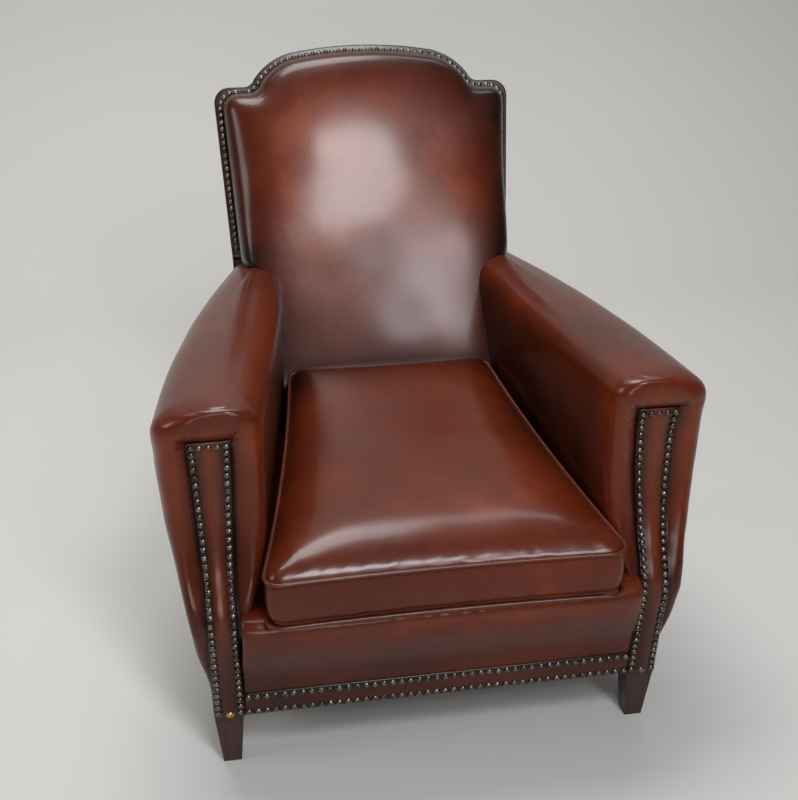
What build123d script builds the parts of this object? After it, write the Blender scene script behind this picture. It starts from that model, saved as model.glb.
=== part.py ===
from build123d import *
import math
import os

# Club armchair with a domed, raked back, splayed arms and a loose seat cushion.
#
# Lengths are millimetres.  The chair is drawn with Y = 0 at the front faces of the front
# feet, +Y towards the back and +Z up from the floor, and every piece is moved at the end
# so that the middle of the chair's footprint lies on the origin.

# Overall form
base_height = 94.0           # underside of the leather above the floor
seat_deck_height = 278.0     # top of the fixed seat, under the loose cushion
back_bend_height = 300.0     # where the back posts bend
strip_origin_height = 523.0  # where the arm tops meet the edge of the back
back_rake = 20.0             # lean of the back above the bend, in degrees
lower_rake = 8.0             # lean of the back posts below the bend, in degrees
slab_front_y = 687.0         # front of the back frame at strip_origin_height
slab_depth = 36.0            # thickness of the back frame
leather = 2.0
fabric = 1.5
overrun = 60.0               # how far a cutting shape runs past what it cuts

# Arms
arm_height = 566.0
arm_front_forward = -24.0    # the fullest point of the arm front
arm_front_sweep = 62.0       # how far the arm front is set back above it
arm_inner_foot = 276.0       # inside of the arm at its foot, from the middle of the chair
arm_inner_top = 236.0        # inside of the arm at its top
arm_foot_wide = 55.0         # width of the arm at its foot
arm_top_wide = 143.0         # width of the arm where it is widest
arm_outer_station = 60.0     # where the outer widths above are measured
arm_inner_station = 15.0     # where the inner widths above are measured
arm_inner_rear_in = 57.0     # how far the inside has drawn in at the cushion's back
arm_inner_rear_station = 510.0
arm_inner_bow = 6.0          # padding that swells towards the sitter
arm_outer_bow_low = 24.0     # swell of the outside at the base
arm_outer_bow_top = 20.0     # swell of the outside at the top
arm_front_tuck = 18.0        # how far the front outer corner is drawn in at the base
arm_round_base = 5.0
arm_round_outer = 38.0
arm_round_inner = 28.0
arm_round_rear = 4.0
arm_round_limit_share = 0.42   # no corner round takes more than this of the arm's width
arm_top_fall = 2.2           # slope of the arm top towards the back, in degrees
arm_shell_gap = 34.0         # padding left on the inside of the arm frame
arm_hollow_floor = 190.0
arm_hollow_roof = 465.0
# Rows from the base to the top of the arm:
# height, set-back of the front, outer width, inner width, tuck of the corner, as shares
arm_level_shares = (
    (0.0, 0.226, 0.0, 0.0, 1.0),
    (0.119, 0.177, 0.044, 0.025, 1.0),
    (0.235, 0.081, 0.22, 0.075, 0.85),
    (0.331, 0.0, 0.36, 0.25, 0.9),
    (0.405, 0.19, 0.47, 0.5, 0.75),
    (0.479, 0.5, 0.6, 0.75, 0.5),
    (0.564, 0.73, 0.74, 0.9, 0.3),
    (0.669, 0.92, 0.88, 0.94, 0.1),
    (0.786, 1.0, 0.97, 0.975, 0.0),
    (0.842, 0.985, 0.985, 0.99, 0.0),
    (0.888, 0.9, 0.99, 1.0, 0.0),
    (0.911, 0.81, 0.96, 1.0, 0.0),
    (0.932, 0.735, 0.885, 0.98, 0.0),
    (0.951, 0.7, 0.76, 0.93, 0.0),
    (0.968, 0.725, 0.575, 0.82, 0.0),
    (0.983, 0.81, 0.32, 0.64, 0.0),
    (0.993, 0.945, 0.02, 0.42, 0.0),
    (1.0, 1.165, -0.3, 0.17, 0.0),
)

# Arm facing strips and their nails
arm_strip_in = 27.0          # middle of the strip from the inside of the arm's foot
arm_strip_top = 515.0
arm_strip_thick = 2.5
arm_strip_margin = 6.0
arm_gauge_top = 23.0         # half the distance between the two nail columns
arm_gauge_low = 15.2
arm_gauge_low_height = 310.0
nail_pitch = 11.5
nail_radius = 4.9
nail_rise = 3.0
nail_shank_radius = 0.9
nail_shank = 1.6
nail_inset = 8.0             # nail centres from the ends of a strip
dome_pole = 90.0             # where the arc of a nail's dome ends, in degrees

# Front border, under the cushion
border_half_width = 281.5
border_half_top = 270.0      # half the width of the roll, between the arms
border_square_height = 190.0 # where the ends begin to draw in
border_face_low = -10.0
border_band_y = -12.5
border_full_y = -50.0
border_full_height = 257.0
border_roll_y = -28.0
band_height = 40.0
band_margin = 6.5
band_nail_count = 44
border_back_y = 34.0

# Feet and frame
foot_top_wide = 42.0
foot_bottom_wide = 26.0
foot_x = 305.0
front_foot_top_y = -6.0
rail_floor = base_height     # underside of the seat rails
rail_top = 180.0
rail_thick = 30.0
side_rail_thick = 28.0
front_rail_y = 14.0
arm_post_in = 26.0           # middle of the post from the inside of the arm's foot
arm_post_wide = 34.0
arm_post_deep = 40.0
arm_post_top = 475.0
arm_rail_thick = 28.0
arm_rail_wide = 34.0
back_post_wide = 32.0
back_post_side = 4.0         # from the post to the edge of the back
wood_recess = 3.0            # front of the wood behind the front of the padding
rear_foot_back = 22.0        # how far the rear feet rake behind the posts
crest_start = 225.0
crest_deep = 72.0
lower_rail_high = 46.0
corner_block_side = 70.0
corner_block_high = 34.0
screw_place_shares = (0.3, 0.62)   # along the block, from the post
screw_sink_share = 0.5       # how far the heads sit inside the block
screw_radius = 2.5
screw_head_radius = 4.5
screw_head_thick = 2.5
screw_length = 38.0
slip = 0.3                   # clearance between pieces that only lie against each other

# Outline of the back, in the plane of its frame, up from strip_origin_height
back_half_base = 229.0
back_half_bend = 249.0
back_half_low = 252.0
back_half_wide = 265.0
shoulder_height = 303.0
shoulder_round = 27.0
notch_out = 213.0
notch_x = 204.0
notch_lift = 1.5
dome_start_x = 193.0
dome_start_height = 316.0
dome_hip_x = 166.0
dome_hip_height = 342.0
dome_top_x = 128.0
dome_top_height = 359.5
dome_height = 371.0
# how the named outline points move when the outline is drawn in, as shares of it
notch_in_shares = (0.45, 1.0)
dome_start_in_shares = (0.75, 0.66)
dome_hip_in_shares = (0.6, 0.8)
dome_top_in_shares = (0.2, 0.98)

# Back padding
edge_strip_wide = 19.0
edge_strip_thick = 2.5
pad_foot = -250.0            # lower edge of the back padding, in the plane of the frame
pad_low_depth = 118.0
pad_top_depth = 72.0
pad_top_station = 330.0
pad_inset_full = 150.0
# Rows from the frame to the front of the padding: depth low, depth top, inset as shares
pad_level_shares = (
    (0.0, 0.0, 0.133),
    (0.24, 0.38, 0.10),
    (0.64, 0.66, 0.16),
    (0.90, 0.87, 0.36),
    (0.975, 0.955, 0.63),
    (1.0, 1.0, 1.0),
)
spring_pocket_half = 150.0
spring_pocket_low = -120.0
spring_pocket_high = 200.0
back_spring_high = 54.0
back_spring_radius = 27.0

# Seat springs and webbing
spring_wire = 1.9
spring_turns = 4
seat_spring_radius = 42.0
seat_spring_waist = 0.72     # radius at the waist as a share of the end coils
seat_spring_top = 224.0
seat_spring_pitch_x = 124.0
seat_spring_pitch_y = 150.0
seat_spring_mid_y = 318.0
web_wide = 50.0
web_seat_x = 92.0
web_seat_y = 84.0
web_back_x = 84.0
web_back_y = 84.0
web_back_lift = 6.0          # leaves the arm rails a way between two lengths of webbing
dust_cover_thick = 1.0

# Loose cushion
cushion_floor = seat_deck_height + slip
cushion_seam_low = 282.0
cushion_seam_top = 346.0     # upper seam at the front
cushion_crown = 380.0
cushion_rise = 42.0          # how much higher the upper seam lies at the rear
cushion_front_y = -56.0
cushion_front_lean = 7.0     # how far the lower seam stands forward of the upper one
cushion_rear_y = 478.0
cushion_half_front = 245.0
cushion_half_rear = 168.0
cushion_side_draw = 8.0     # how far each side pulls in between its corners
cushion_front_draw = 5.0
cushion_round_front = 17.0
cushion_round_rear = 14.0
cushion_bottom_in = 12.0
cushion_crown_in = 132.0
# Rows over the cushion's height: height above the lower or upper seam, inset, as shares
cushion_crown_shares = ((0.0, 0.0), (0.36, 0.22), (0.76, 0.58), (1.0, 1.0))
cushion_waist_in = 3.0
welt_radius = 3.0
welt_steps = (-90, -45, 0, 45, 90)   # rows around half of the welt, in degrees

back_tangent = math.tan(math.radians(back_rake))
back_cosine = math.cos(math.radians(back_rake))
lower_tangent = math.tan(math.radians(lower_rake))
bend_y = slab_front_y - (strip_origin_height - back_bend_height) * back_tangent
bend_s = -(strip_origin_height - back_bend_height) / back_cosine
arm_outer_foot = arm_inner_foot + arm_foot_wide
arm_outer_wide = arm_inner_top + arm_top_wide
arm_strip_x = arm_inner_foot + arm_strip_in
arm_post_x = arm_inner_foot + arm_post_in
side_draw = (arm_outer_wide - back_half_low) / (slab_front_y - arm_outer_station)
inner_draw = arm_inner_rear_in / (arm_inner_rear_station - arm_inner_station)

slab_plane = Plane(
    origin=(0, slab_front_y, strip_origin_height),
    x_dir=(1, 0, 0),
    z_dir=(0, -math.cos(math.radians(back_rake)), math.sin(math.radians(back_rake))),
)


def slab_y(height):
    """Front of the back frame at a height above the floor."""
    if height >= back_bend_height:
        return bend_y + (height - back_bend_height) * back_tangent
    return bend_y - (back_bend_height - height) * lower_tangent


def rounded_wire(corners, rounds, bows, plane):
    """Closed wire through corners, each with its own round and each side with its own bow."""
    count = len(corners)
    points = [Vector(*corner) for corner in corners]
    starts, middles, ends = [], [], []
    for index in range(count):
        here = points[index]
        before = (points[index - 1] - here).normalized()
        after = (points[(index + 1) % count] - here).normalized()
        opening = math.radians(before.get_angle(after))
        reach = rounds[index] / math.tan(opening / 2)
        middle_way = (before + after).normalized()
        centre = here + middle_way * (rounds[index] / math.sin(opening / 2))
        starts.append(here + before * reach)
        ends.append(here + after * reach)
        middles.append(centre - middle_way * rounds[index])
    edges = []
    for index in range(count):
        edges.append(ThreePointArc(starts[index], middles[index], ends[index]))
        first, last = ends[index], starts[(index + 1) % count]
        if bows[index]:
            along = (last - first).normalized()
            across = Vector(-along.Y, along.X)
            edges.append(ThreePointArc(first, (first + last) * 0.5 + across * bows[index], last))
        else:
            edges.append(Line(first, last))
    return Wire([plane.from_local_coords(edge) for edge in edges])


def side_prism(points, x_from, x_to):
    """Block with an outline given as (y, z) between two places across the chair."""
    face = make_face(Polyline(*points, close=True))
    return extrude(Plane.YZ.offset(x_from) * face, amount=x_to - x_from)


def plan_prism(points, z_from, z_to):
    """Block with an outline given as (x, y) between two heights."""
    face = make_face(Polyline(*points, close=True))
    return extrude(Plane.XY.offset(z_from) * face, amount=z_to - z_from)


def slab_prism(face, depth_from, depth_to):
    """Block drawn in the plane of the back frame, depth growing towards the sitter."""
    return extrude(slab_plane.offset(depth_from) * face, amount=depth_to - depth_from)


def slab_box(x_from, x_to, s_from, s_to, depth_from, depth_to):
    """Square block in the plane of the back frame."""
    points = ((x_from, s_from), (x_to, s_from), (x_to, s_to), (x_from, s_to))
    return slab_prism(make_face(Polyline(*points, close=True)), depth_from, depth_to)


def mirrored(shape):
    """The same piece on the other side of the chair."""
    return mirror(shape, about=Plane.YZ)


def one_solid(shape):
    """The largest solid of a cut shape."""
    return max(shape.solids(), key=lambda solid: solid.volume)


def block(x_from, x_to, y_from, y_to, z_from, z_to):
    """Square block between named planes."""
    points = ((x_from, y_from), (x_to, y_from), (x_to, y_to), (x_from, y_to))
    return plan_prism(points, z_from, z_to)


# Arms

def arm_level(row, skin):
    """One horizontal outline of the arm, drawn in by a skin thickness."""
    height_share, front_share, outer_share, inner_share, tuck_share = row
    rise = arm_height - base_height
    height = base_height + rise * height_share
    if height_share == 1.0:
        height = height - skin
    front = arm_front_forward + arm_front_sweep * front_share + skin
    outer = arm_outer_foot + (arm_outer_wide - arm_outer_foot) * outer_share - skin
    inner = arm_inner_foot + (arm_inner_top - arm_inner_foot) * inner_share + skin
    tilt = math.radians(arm_top_fall * height_share)
    rear = slab_y(height) / (1.0 + math.tan(tilt) * back_tangent)
    corners = (
        (inner + inner_draw * (arm_inner_station - front), front),
        (outer + side_draw * (arm_outer_station - front) - arm_front_tuck * tuck_share, front),
        (outer - side_draw * (rear - arm_outer_station), rear),
        (inner - inner_draw * (rear - arm_inner_station), rear),
    )
    front_width = corners[1][0] - corners[0][0]
    inner_round = arm_round_base + (arm_round_inner - arm_round_base) * height_share
    outer_round = arm_round_base + (arm_round_outer - arm_round_base) * height_share
    rounds = (
        min(inner_round, arm_round_limit_share * front_width),
        min(outer_round, arm_round_limit_share * front_width),
        arm_round_rear,
        arm_round_rear,
    )
    outer_bow = arm_outer_bow_low + (arm_outer_bow_top - arm_outer_bow_low) * height_share
    bows = (0, -outer_bow, 0, -arm_inner_bow * math.sqrt(height_share))
    plane = Plane(origin=(0, 0, height), x_dir=(1, 0, 0), z_dir=(0, math.sin(tilt), math.cos(tilt)))
    return rounded_wire(corners, rounds, bows, plane)


def arm_form(skin=0.0):
    """Padded form of the right arm, as the leather shows it, drawn in by a skin thickness."""
    return Solid.make_loft([arm_level(row, skin) for row in arm_level_shares], ruled=True)


def front_face_y(height_share):
    """Front of the arm at a share of its height, between the rows of the arm's table."""
    rows = arm_level_shares
    for low, high in zip(rows, rows[1:]):
        if low[0] <= height_share <= high[0]:
            part = (height_share - low[0]) / (high[0] - low[0])
            return arm_front_forward + arm_front_sweep * (low[1] + (high[1] - low[1]) * part)
    return arm_front_forward + arm_front_sweep * rows[-1][1]


def strip_path(stand_off):
    """Line up the front of the arm, as (y, z), a distance in front of it."""
    points = []
    for height_share, front_share, *_ in arm_level_shares:
        height = base_height + (arm_height - base_height) * height_share
        if height < arm_strip_top - nail_inset:
            points.append((arm_front_forward + arm_front_sweep * front_share - stand_off, height))
    top_share = (arm_strip_top - base_height) / (arm_height - base_height)
    points.append((front_face_y(top_share) - stand_off, arm_strip_top))
    return Polyline(*points)


def nail_gauge(height):
    """Half the distance between the two nail columns at a height."""
    top_row = arm_strip_top - nail_inset
    if height <= arm_gauge_low_height:
        return arm_gauge_low
    part = (height - arm_gauge_low_height) / (top_row - arm_gauge_low_height)
    return arm_gauge_low + (arm_gauge_top - arm_gauge_low) * part


def arm_strip(arm):
    """Leather strip up the middle of the arm front, wider at the top."""
    near, far = strip_path(arm_strip_thick), strip_path(-arm_strip_thick)
    edges = [near, Line(near @ 1, far @ 1), far, Line(far @ 0, near @ 0)]
    band = extrude(Plane.YZ * make_face(edges), amount=arm_outer_wide)
    low = arm_gauge_low + arm_strip_margin
    top = arm_gauge_top + arm_strip_margin
    outline = (
        (arm_strip_x - low, base_height),
        (arm_strip_x + low, base_height),
        (arm_strip_x + low, arm_gauge_low_height),
        (arm_strip_x + top, arm_strip_top),
        (arm_strip_x - top, arm_strip_top),
        (arm_strip_x - low, arm_gauge_low_height),
    )
    face = make_face(Polyline(*outline, close=True))
    front_view = extrude(Plane.XZ.offset(-overrun) * face, amount=overrun + overrun)
    return one_solid((band & front_view) - arm)


def nail():
    """Domed upholstery nail standing on z = 0 with its shank below."""
    ball = (nail_radius * nail_radius + nail_rise * nail_rise) / (nail_rise + nail_rise)
    low = math.degrees(math.asin((ball - nail_rise) / ball))
    middle = (Align.CENTER, Align.CENTER, Align.NONE)
    cap = Sphere(ball, arc_size1=low, arc_size2=dome_pole, align=middle)
    dome = Location((0, 0, nail_rise - ball)) * cap
    shank = Cylinder(
        nail_shank_radius, nail_shank, align=(Align.CENTER, Align.CENTER, Align.MAX)
    )
    return dome + shank


def nail_group(places):
    """One copy of the nail at each point and outward direction."""
    head = nail()
    copies = []
    for point, outward in places:
        copies.append(Plane(origin=point, x_dir=(1, 0, 0), z_dir=outward).location * head)
    return Compound([copy.solid() for copy in copies])


def arm_nail_places():
    """Two columns of nails and the short row between their tops."""
    path = strip_path(arm_strip_thick)
    last = path.length - nail_inset
    count = round((last - nail_inset) / nail_pitch)
    places = []
    for index in range(count + 1):
        along = nail_inset + (last - nail_inset) * index / count
        spot = path.position_at(along, position_mode=PositionMode.LENGTH)
        slope = path.tangent_at(along, position_mode=PositionMode.LENGTH)
        outward = Vector(0, -slope.Y, slope.X)
        gauge = nail_gauge(spot.Y)
        for side in (-1, 1):
            places.append((Vector(arm_strip_x + side * gauge, spot.X, spot.Y), outward))
        if index == count:
            gaps = round(2 * gauge / nail_pitch)
            for step in range(1, gaps):
                across = arm_strip_x - gauge + 2 * gauge * step / gaps
                places.append((Vector(across, spot.X, spot.Y), outward))
    return places


def side_rail_mid(y):
    """Middle of the side rail at a place along the chair."""
    front = front_rail_y + rail_thick + arm_post_deep
    rear = slab_y(rail_floor) + wood_recess - slip
    rear_mid = back_half_base - leather - leather - 0.5 * side_rail_thick
    return arm_post_x + (rear_mid - arm_post_x) * (y - front) / (rear - front)


def arm_frame():
    """Wooden members inside the right arm."""
    post_y = front_rail_y + rail_thick
    post = block(
        arm_post_x - 0.5 * arm_post_wide,
        arm_post_x + 0.5 * arm_post_wide,
        post_y,
        post_y + arm_post_deep,
        rail_floor,
        arm_post_top,
    )
    post_back = post_y + arm_post_deep
    base_rear = slab_y(rail_floor) + wood_recess - slip
    rear_outer = side_rail_mid(base_rear) + 0.5 * side_rail_thick - arm_round_rear
    rear_inner = inner_line_x(base_rear, arm_inner_foot) + leather + arm_round_rear + fabric
    half = 0.5 * side_rail_thick
    long_rail = plan_prism(
        (
            (arm_post_x - half, post_back),
            (arm_post_x + half, post_back),
            (rear_outer, base_rear),
            (rear_outer, base_rear + overrun),
            (rear_inner, base_rear + overrun),
            (rear_inner, base_rear),
        ),
        rail_floor,
        rail_top,
    )
    behind = block(0, arm_outer_wide, base_rear, base_rear + 2 * overrun, 0, arm_post_top)
    side_rail = long_rail - behind
    top_rear = slab_y(arm_post_top) + wood_recess - slip
    top_mid = back_half_low - back_post_side - 0.5 * back_post_wide
    half = 0.5 * arm_rail_wide
    arm_rail = plan_prism(
        (
            (arm_post_x - half, post_y),
            (arm_post_x + half, post_y),
            (top_mid + half, top_rear),
            (top_mid - half, top_rear),
        ),
        arm_post_top,
        arm_post_top + arm_rail_thick,
    )
    return one_solid(post), one_solid(side_rail), one_solid(arm_rail), long_rail


def arm_hollow():
    """Empty space between the padding on the inside of the arm and the leather outside."""
    front = front_rail_y + rail_thick + arm_post_deep + leather
    rear = slab_y(arm_hollow_floor)
    inner = arm_inner_foot - inner_draw * (front - arm_inner_station)
    inner_rear = arm_inner_foot - inner_draw * (rear - arm_inner_station)
    outer = arm_outer_foot - side_draw * (front - arm_outer_station)
    outer_rear = arm_outer_foot - side_draw * (rear - arm_outer_station)
    wall = 0.5 * arm_shell_gap
    points = (
        (inner + wall, front),
        (outer - leather, front),
        (outer_rear - leather, rear),
        (inner_rear + 0.5 * wall, rear),
    )
    return plan_prism(points, arm_hollow_floor, arm_hollow_roof)


def arm_pieces(arm, front_rail, blocks):
    """Leather panels, padding, strip and nails of the right arm."""
    filling = arm_form(leather)
    post, side_rail, arm_rail, rail_way = arm_frame()
    shell = arm - filling
    front_zone = block(
        0, arm_outer_wide + overrun, -overrun, arm_outer_station, 0, arm_height + overrun
    )
    front_cover = one_solid((shell & front_zone) - front_rail - blocks)
    rest = shell - front_zone
    rear = slab_y(arm_height)
    seam_front = 0.5 * (arm_outer_wide + arm_inner_top)
    seam_rear = seam_front - 0.5 * (side_draw + inner_draw) * (rear - arm_outer_station)
    inside_zone = plan_prism(
        (
            (0, arm_outer_station - overrun),
            (seam_front + side_draw * overrun, arm_outer_station - overrun),
            (seam_rear - side_draw * overrun, rear + overrun),
            (0, rear + overrun),
        ),
        0,
        arm_height + overrun,
    )
    inside_cover = one_solid((rest & inside_zone) - blocks)
    outside_cover = one_solid(rest - inside_zone)
    padding = filling - post - rail_way - arm_rail - front_rail - blocks - arm_hollow()
    return {
        "arm_post": post,
        "side_rail": side_rail,
        "arm_rail": arm_rail,
        "arm_padding": one_solid(padding),
        "arm_front_cover": front_cover,
        "inside_arm_cover": inside_cover,
        "outside_arm_cover": outside_cover,
        "arm_facing_strip": arm_strip(arm),
        "arm_nails": nail_group(arm_nail_places()),
    }


# Front border under the cushion

def border_face(stand_off):
    """Closed outline (y, z) of the front border, its face moved out by a distance."""
    half_way = 0.5 * (base_height + band_height + border_full_height)
    face = Spline(
        (border_face_low - stand_off, base_height),
        (border_band_y - stand_off, base_height + band_height),
        (0.5 * (border_band_y + border_full_y) - stand_off, half_way),
        (border_full_y - stand_off, border_full_height),
        tangents=((0, 1), (0, 1)),
    )
    top = seat_deck_height + stand_off
    shoulder = border_roll_y
    middle = (
        shoulder + (border_full_y - stand_off - shoulder) * math.sin(math.radians(45)),
        border_full_height + (top - border_full_height) * math.sin(math.radians(45)),
    )
    roll = ThreePointArc(face @ 1, middle, (shoulder, top))
    return face, roll, top


def border_form(stand_off, back_y):
    """Solid front border with its face moved out by a distance."""
    face, roll, top = border_face(stand_off)
    edges = [
        face,
        roll,
        Line(roll @ 1, (back_y, top)),
        Line((back_y, top), (back_y, base_height)),
        Line((back_y, base_height), face @ 0),
    ]
    half = border_half_width + stand_off
    half_top = border_half_top + stand_off
    whole = extrude(Plane.YZ.offset(-half) * make_face(edges), amount=half + half)
    front_view = make_face(
        Polyline(
            (-half, 0),
            (half, 0),
            (half, border_square_height),
            (half_top, border_full_height),
            (half_top, top + overrun),
            (-half_top, top + overrun),
            (-half_top, border_full_height),
            (-half, border_square_height),
            close=True,
        )
    )
    ends = extrude(Plane.XZ.offset(-back_y - overrun) * front_view, amount=back_y + back_y + 3 * overrun)
    return whole & ends


def front_pieces(arms):
    """Border cover and padding, band strip and its nails."""
    front_rail = block(
        -(arm_post_x + 0.5 * arm_post_wide),
        arm_post_x + 0.5 * arm_post_wide,
        front_rail_y,
        front_rail_y + rail_thick,
        rail_floor,
        rail_top,
    )
    whole = border_form(0, border_back_y)
    inner = border_form(-leather, border_back_y)
    cover = whole - inner - front_rail - arms[0] - arms[1]
    padding = inner - front_rail - arms[0] - arms[1]
    strip_low = arm_strip_x - arm_gauge_low - arm_strip_margin
    band_zone = block(
        -strip_low, strip_low, -overrun - overrun, 0, base_height, base_height + band_height
    )
    band = make_band(strip_low) & band_zone
    band = one_solid(band - whole - arms[0] - arms[1])
    return one_solid(front_rail), one_solid(cover), one_solid(padding), band


def make_band(half):
    """Slab of leather that follows the foot of the border between the arm strips."""
    face_out, _, _ = border_face(arm_strip_thick)
    face_in, _, _ = border_face(-leather)
    edges = [face_out, Line(face_out @ 1, face_in @ 1), face_in, Line(face_in @ 0, face_out @ 0)]
    return extrude(Plane.YZ.offset(-half) * make_face(edges), amount=half + half)


def band_nail_places():
    """Two rows of nails along the band."""
    path, _, _ = border_face(arm_strip_thick)
    span = 2 * arm_inner_foot
    places = []
    for height in (base_height + band_margin, base_height + band_height - band_margin):
        along = height - base_height
        spot = path.position_at(along, position_mode=PositionMode.LENGTH)
        slope = path.tangent_at(along, position_mode=PositionMode.LENGTH)
        for index in range(band_nail_count):
            across = span * (index / (band_nail_count - 1) - 0.5)
            places.append((Vector(across, spot.X, spot.Y), Vector(0, -slope.Y, slope.X)))
    return places


# Back

def outline_points(inset):
    """Named points of the right half of the back's outline, drawn in by an inset."""
    corner_x = back_half_wide - inset
    corner_s = shoulder_height - inset
    turn = math.sin(math.radians(45)) * shoulder_round
    return {
        "low": (back_half_low - inset, 0),
        "side": (corner_x, corner_s - shoulder_round),
        "corner": (corner_x - shoulder_round + turn, corner_s - shoulder_round + turn),
        "shoulder": (corner_x - shoulder_round, corner_s),
        "notch_out": (notch_out - notch_in_shares[0] * inset, corner_s),
        "notch": (notch_x - notch_in_shares[0] * inset, corner_s + notch_lift),
        "dome_start": (
            dome_start_x - dome_start_in_shares[0] * inset,
            dome_start_height - dome_start_in_shares[1] * inset,
        ),
        "hip": (
            dome_hip_x - dome_hip_in_shares[0] * inset,
            dome_hip_height - dome_hip_in_shares[1] * inset,
        ),
        "top": (
            dome_top_x - dome_top_in_shares[0] * inset,
            dome_top_height - dome_top_in_shares[1] * inset,
        ),
        "apex": (0, dome_height - inset),
    }


def outline_edges(inset, foot, x_scale=1.0, s_scale=1.0, s_middle=0.0):
    """Closed outline of the back down to a foot line, as edges in one fixed order."""
    half_foot = back_half_low + (back_half_bend - back_half_low) * foot / bend_s
    named = outline_points(inset)
    named["foot"] = (half_foot - inset, foot)

    def place(name, side):
        across, along = named[name]
        return (side * across * x_scale, s_middle + (along - s_middle) * s_scale)

    right = [
        Line(place("foot", 1), place("low", 1)),
        Line(place("low", 1), place("side", 1)),
        ThreePointArc(place("side", 1), place("corner", 1), place("shoulder", 1)),
        Line(place("shoulder", 1), place("notch_out", 1)),
        ThreePointArc(place("notch_out", 1), place("notch", 1), place("dome_start", 1)),
        ThreePointArc(place("dome_start", 1), place("hip", 1), place("top", 1)),
    ]
    left = [
        ThreePointArc(place("top", -1), place("hip", -1), place("dome_start", -1)),
        ThreePointArc(place("dome_start", -1), place("notch", -1), place("notch_out", -1)),
        Line(place("notch_out", -1), place("shoulder", -1)),
        ThreePointArc(place("shoulder", -1), place("corner", -1), place("side", -1)),
        Line(place("side", -1), place("low", -1)),
        Line(place("low", -1), place("foot", -1)),
    ]
    crown = ThreePointArc(place("top", 1), place("apex", 1), place("top", -1))
    return right + [crown] + left + [Line(place("foot", -1), place("foot", 1))]


def envelope(inset):
    """Block inside which the whole back frame lies, seen from the front."""
    upper_face = make_face(outline_edges(inset, bend_s - overrun))
    upper = slab_prism(upper_face, -slab_depth - overrun, overrun)
    keep_above = block(
        -arm_outer_wide, arm_outer_wide, 0, slab_front_y + slab_front_y, back_bend_height,
        slab_front_y + slab_front_y,
    )
    lower = (
        (inset - back_half_base, base_height),
        (back_half_base - inset, base_height),
        (back_half_bend - inset, back_bend_height),
        (inset - back_half_bend, back_bend_height),
    )
    face = make_face(Polyline(*lower, close=True))
    lower_block = extrude(Plane.XZ.offset(-slab_front_y - overrun) * face, amount=slab_front_y)
    return (upper & keep_above) + lower_block


def frame_band(depth_near, depth_far, top_height):
    """Bent slab (y, z) between two depths behind the front of the back frame."""
    near = depth_near / back_cosine
    far = depth_far / back_cosine
    points = (
        (slab_y(base_height) + near, base_height),
        (bend_y + near, back_bend_height),
        (slab_y(top_height) + near, top_height),
        (slab_y(top_height) + far, top_height),
        (bend_y + far, back_bend_height),
        (slab_y(base_height) + far, base_height),
    )
    return side_prism(points, -arm_outer_wide, arm_outer_wide)


def pad_form(skin):
    """Swelling front of the back padding, drawn in by a skin thickness."""
    middle = 0.5 * (dome_height + pad_foot)
    half_high = 0.5 * (dome_height - pad_foot)
    base_inset = edge_strip_wide + slip
    wires = []
    for low_share, top_share, inset_share in pad_level_shares:
        low = pad_low_depth * low_share
        top = pad_top_depth * top_share
        inset = pad_inset_full * inset_share
        if low_share:
            low = low - skin
            top = top - skin
        extra = max(inset - base_inset, 0) + skin
        near = min(inset, base_inset)
        lean = math.atan2(low - top, pad_top_station)
        outward = slab_plane.z_dir * math.cos(lean) + slab_plane.y_dir * math.sin(lean)
        origin = slab_plane.from_local_coords(Vector(0, 0, low))
        plane = Plane(origin=origin, x_dir=(1, 0, 0), z_dir=outward)
        edges = outline_edges(
            near,
            pad_foot,
            1.0 - extra / back_half_low,
            1.0 - extra / half_high,
            middle,
        )
        wires.append(Wire([plane.from_local_coords(edge) for edge in edges]))
    return Solid.make_loft(wires, ruled=True)


def coil(radius_end, radius_waist, turns, height, wire):
    """Waisted coil spring standing on z = 0, its wire half a thickness inside each end."""
    quarters = 4 * turns
    rise = height - 2 * wire

    def spot(quarter):
        share = quarter / quarters
        waist = math.sin(math.pi * share)
        radius = radius_end + (radius_waist - radius_end) * waist
        turn = 0.5 * math.pi * quarter
        return Vector(radius * math.cos(turn), radius * math.sin(turn), wire + rise * share)

    edges = []
    for quarter in range(quarters):
        edges.append(ThreePointArc(spot(quarter), spot(quarter + 0.5), spot(quarter + 1)))
    path = Wire(edges)
    start = Plane(origin=path @ 0, z_dir=path % 0)
    return sweep(start * Circle(wire), path=path)


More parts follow.
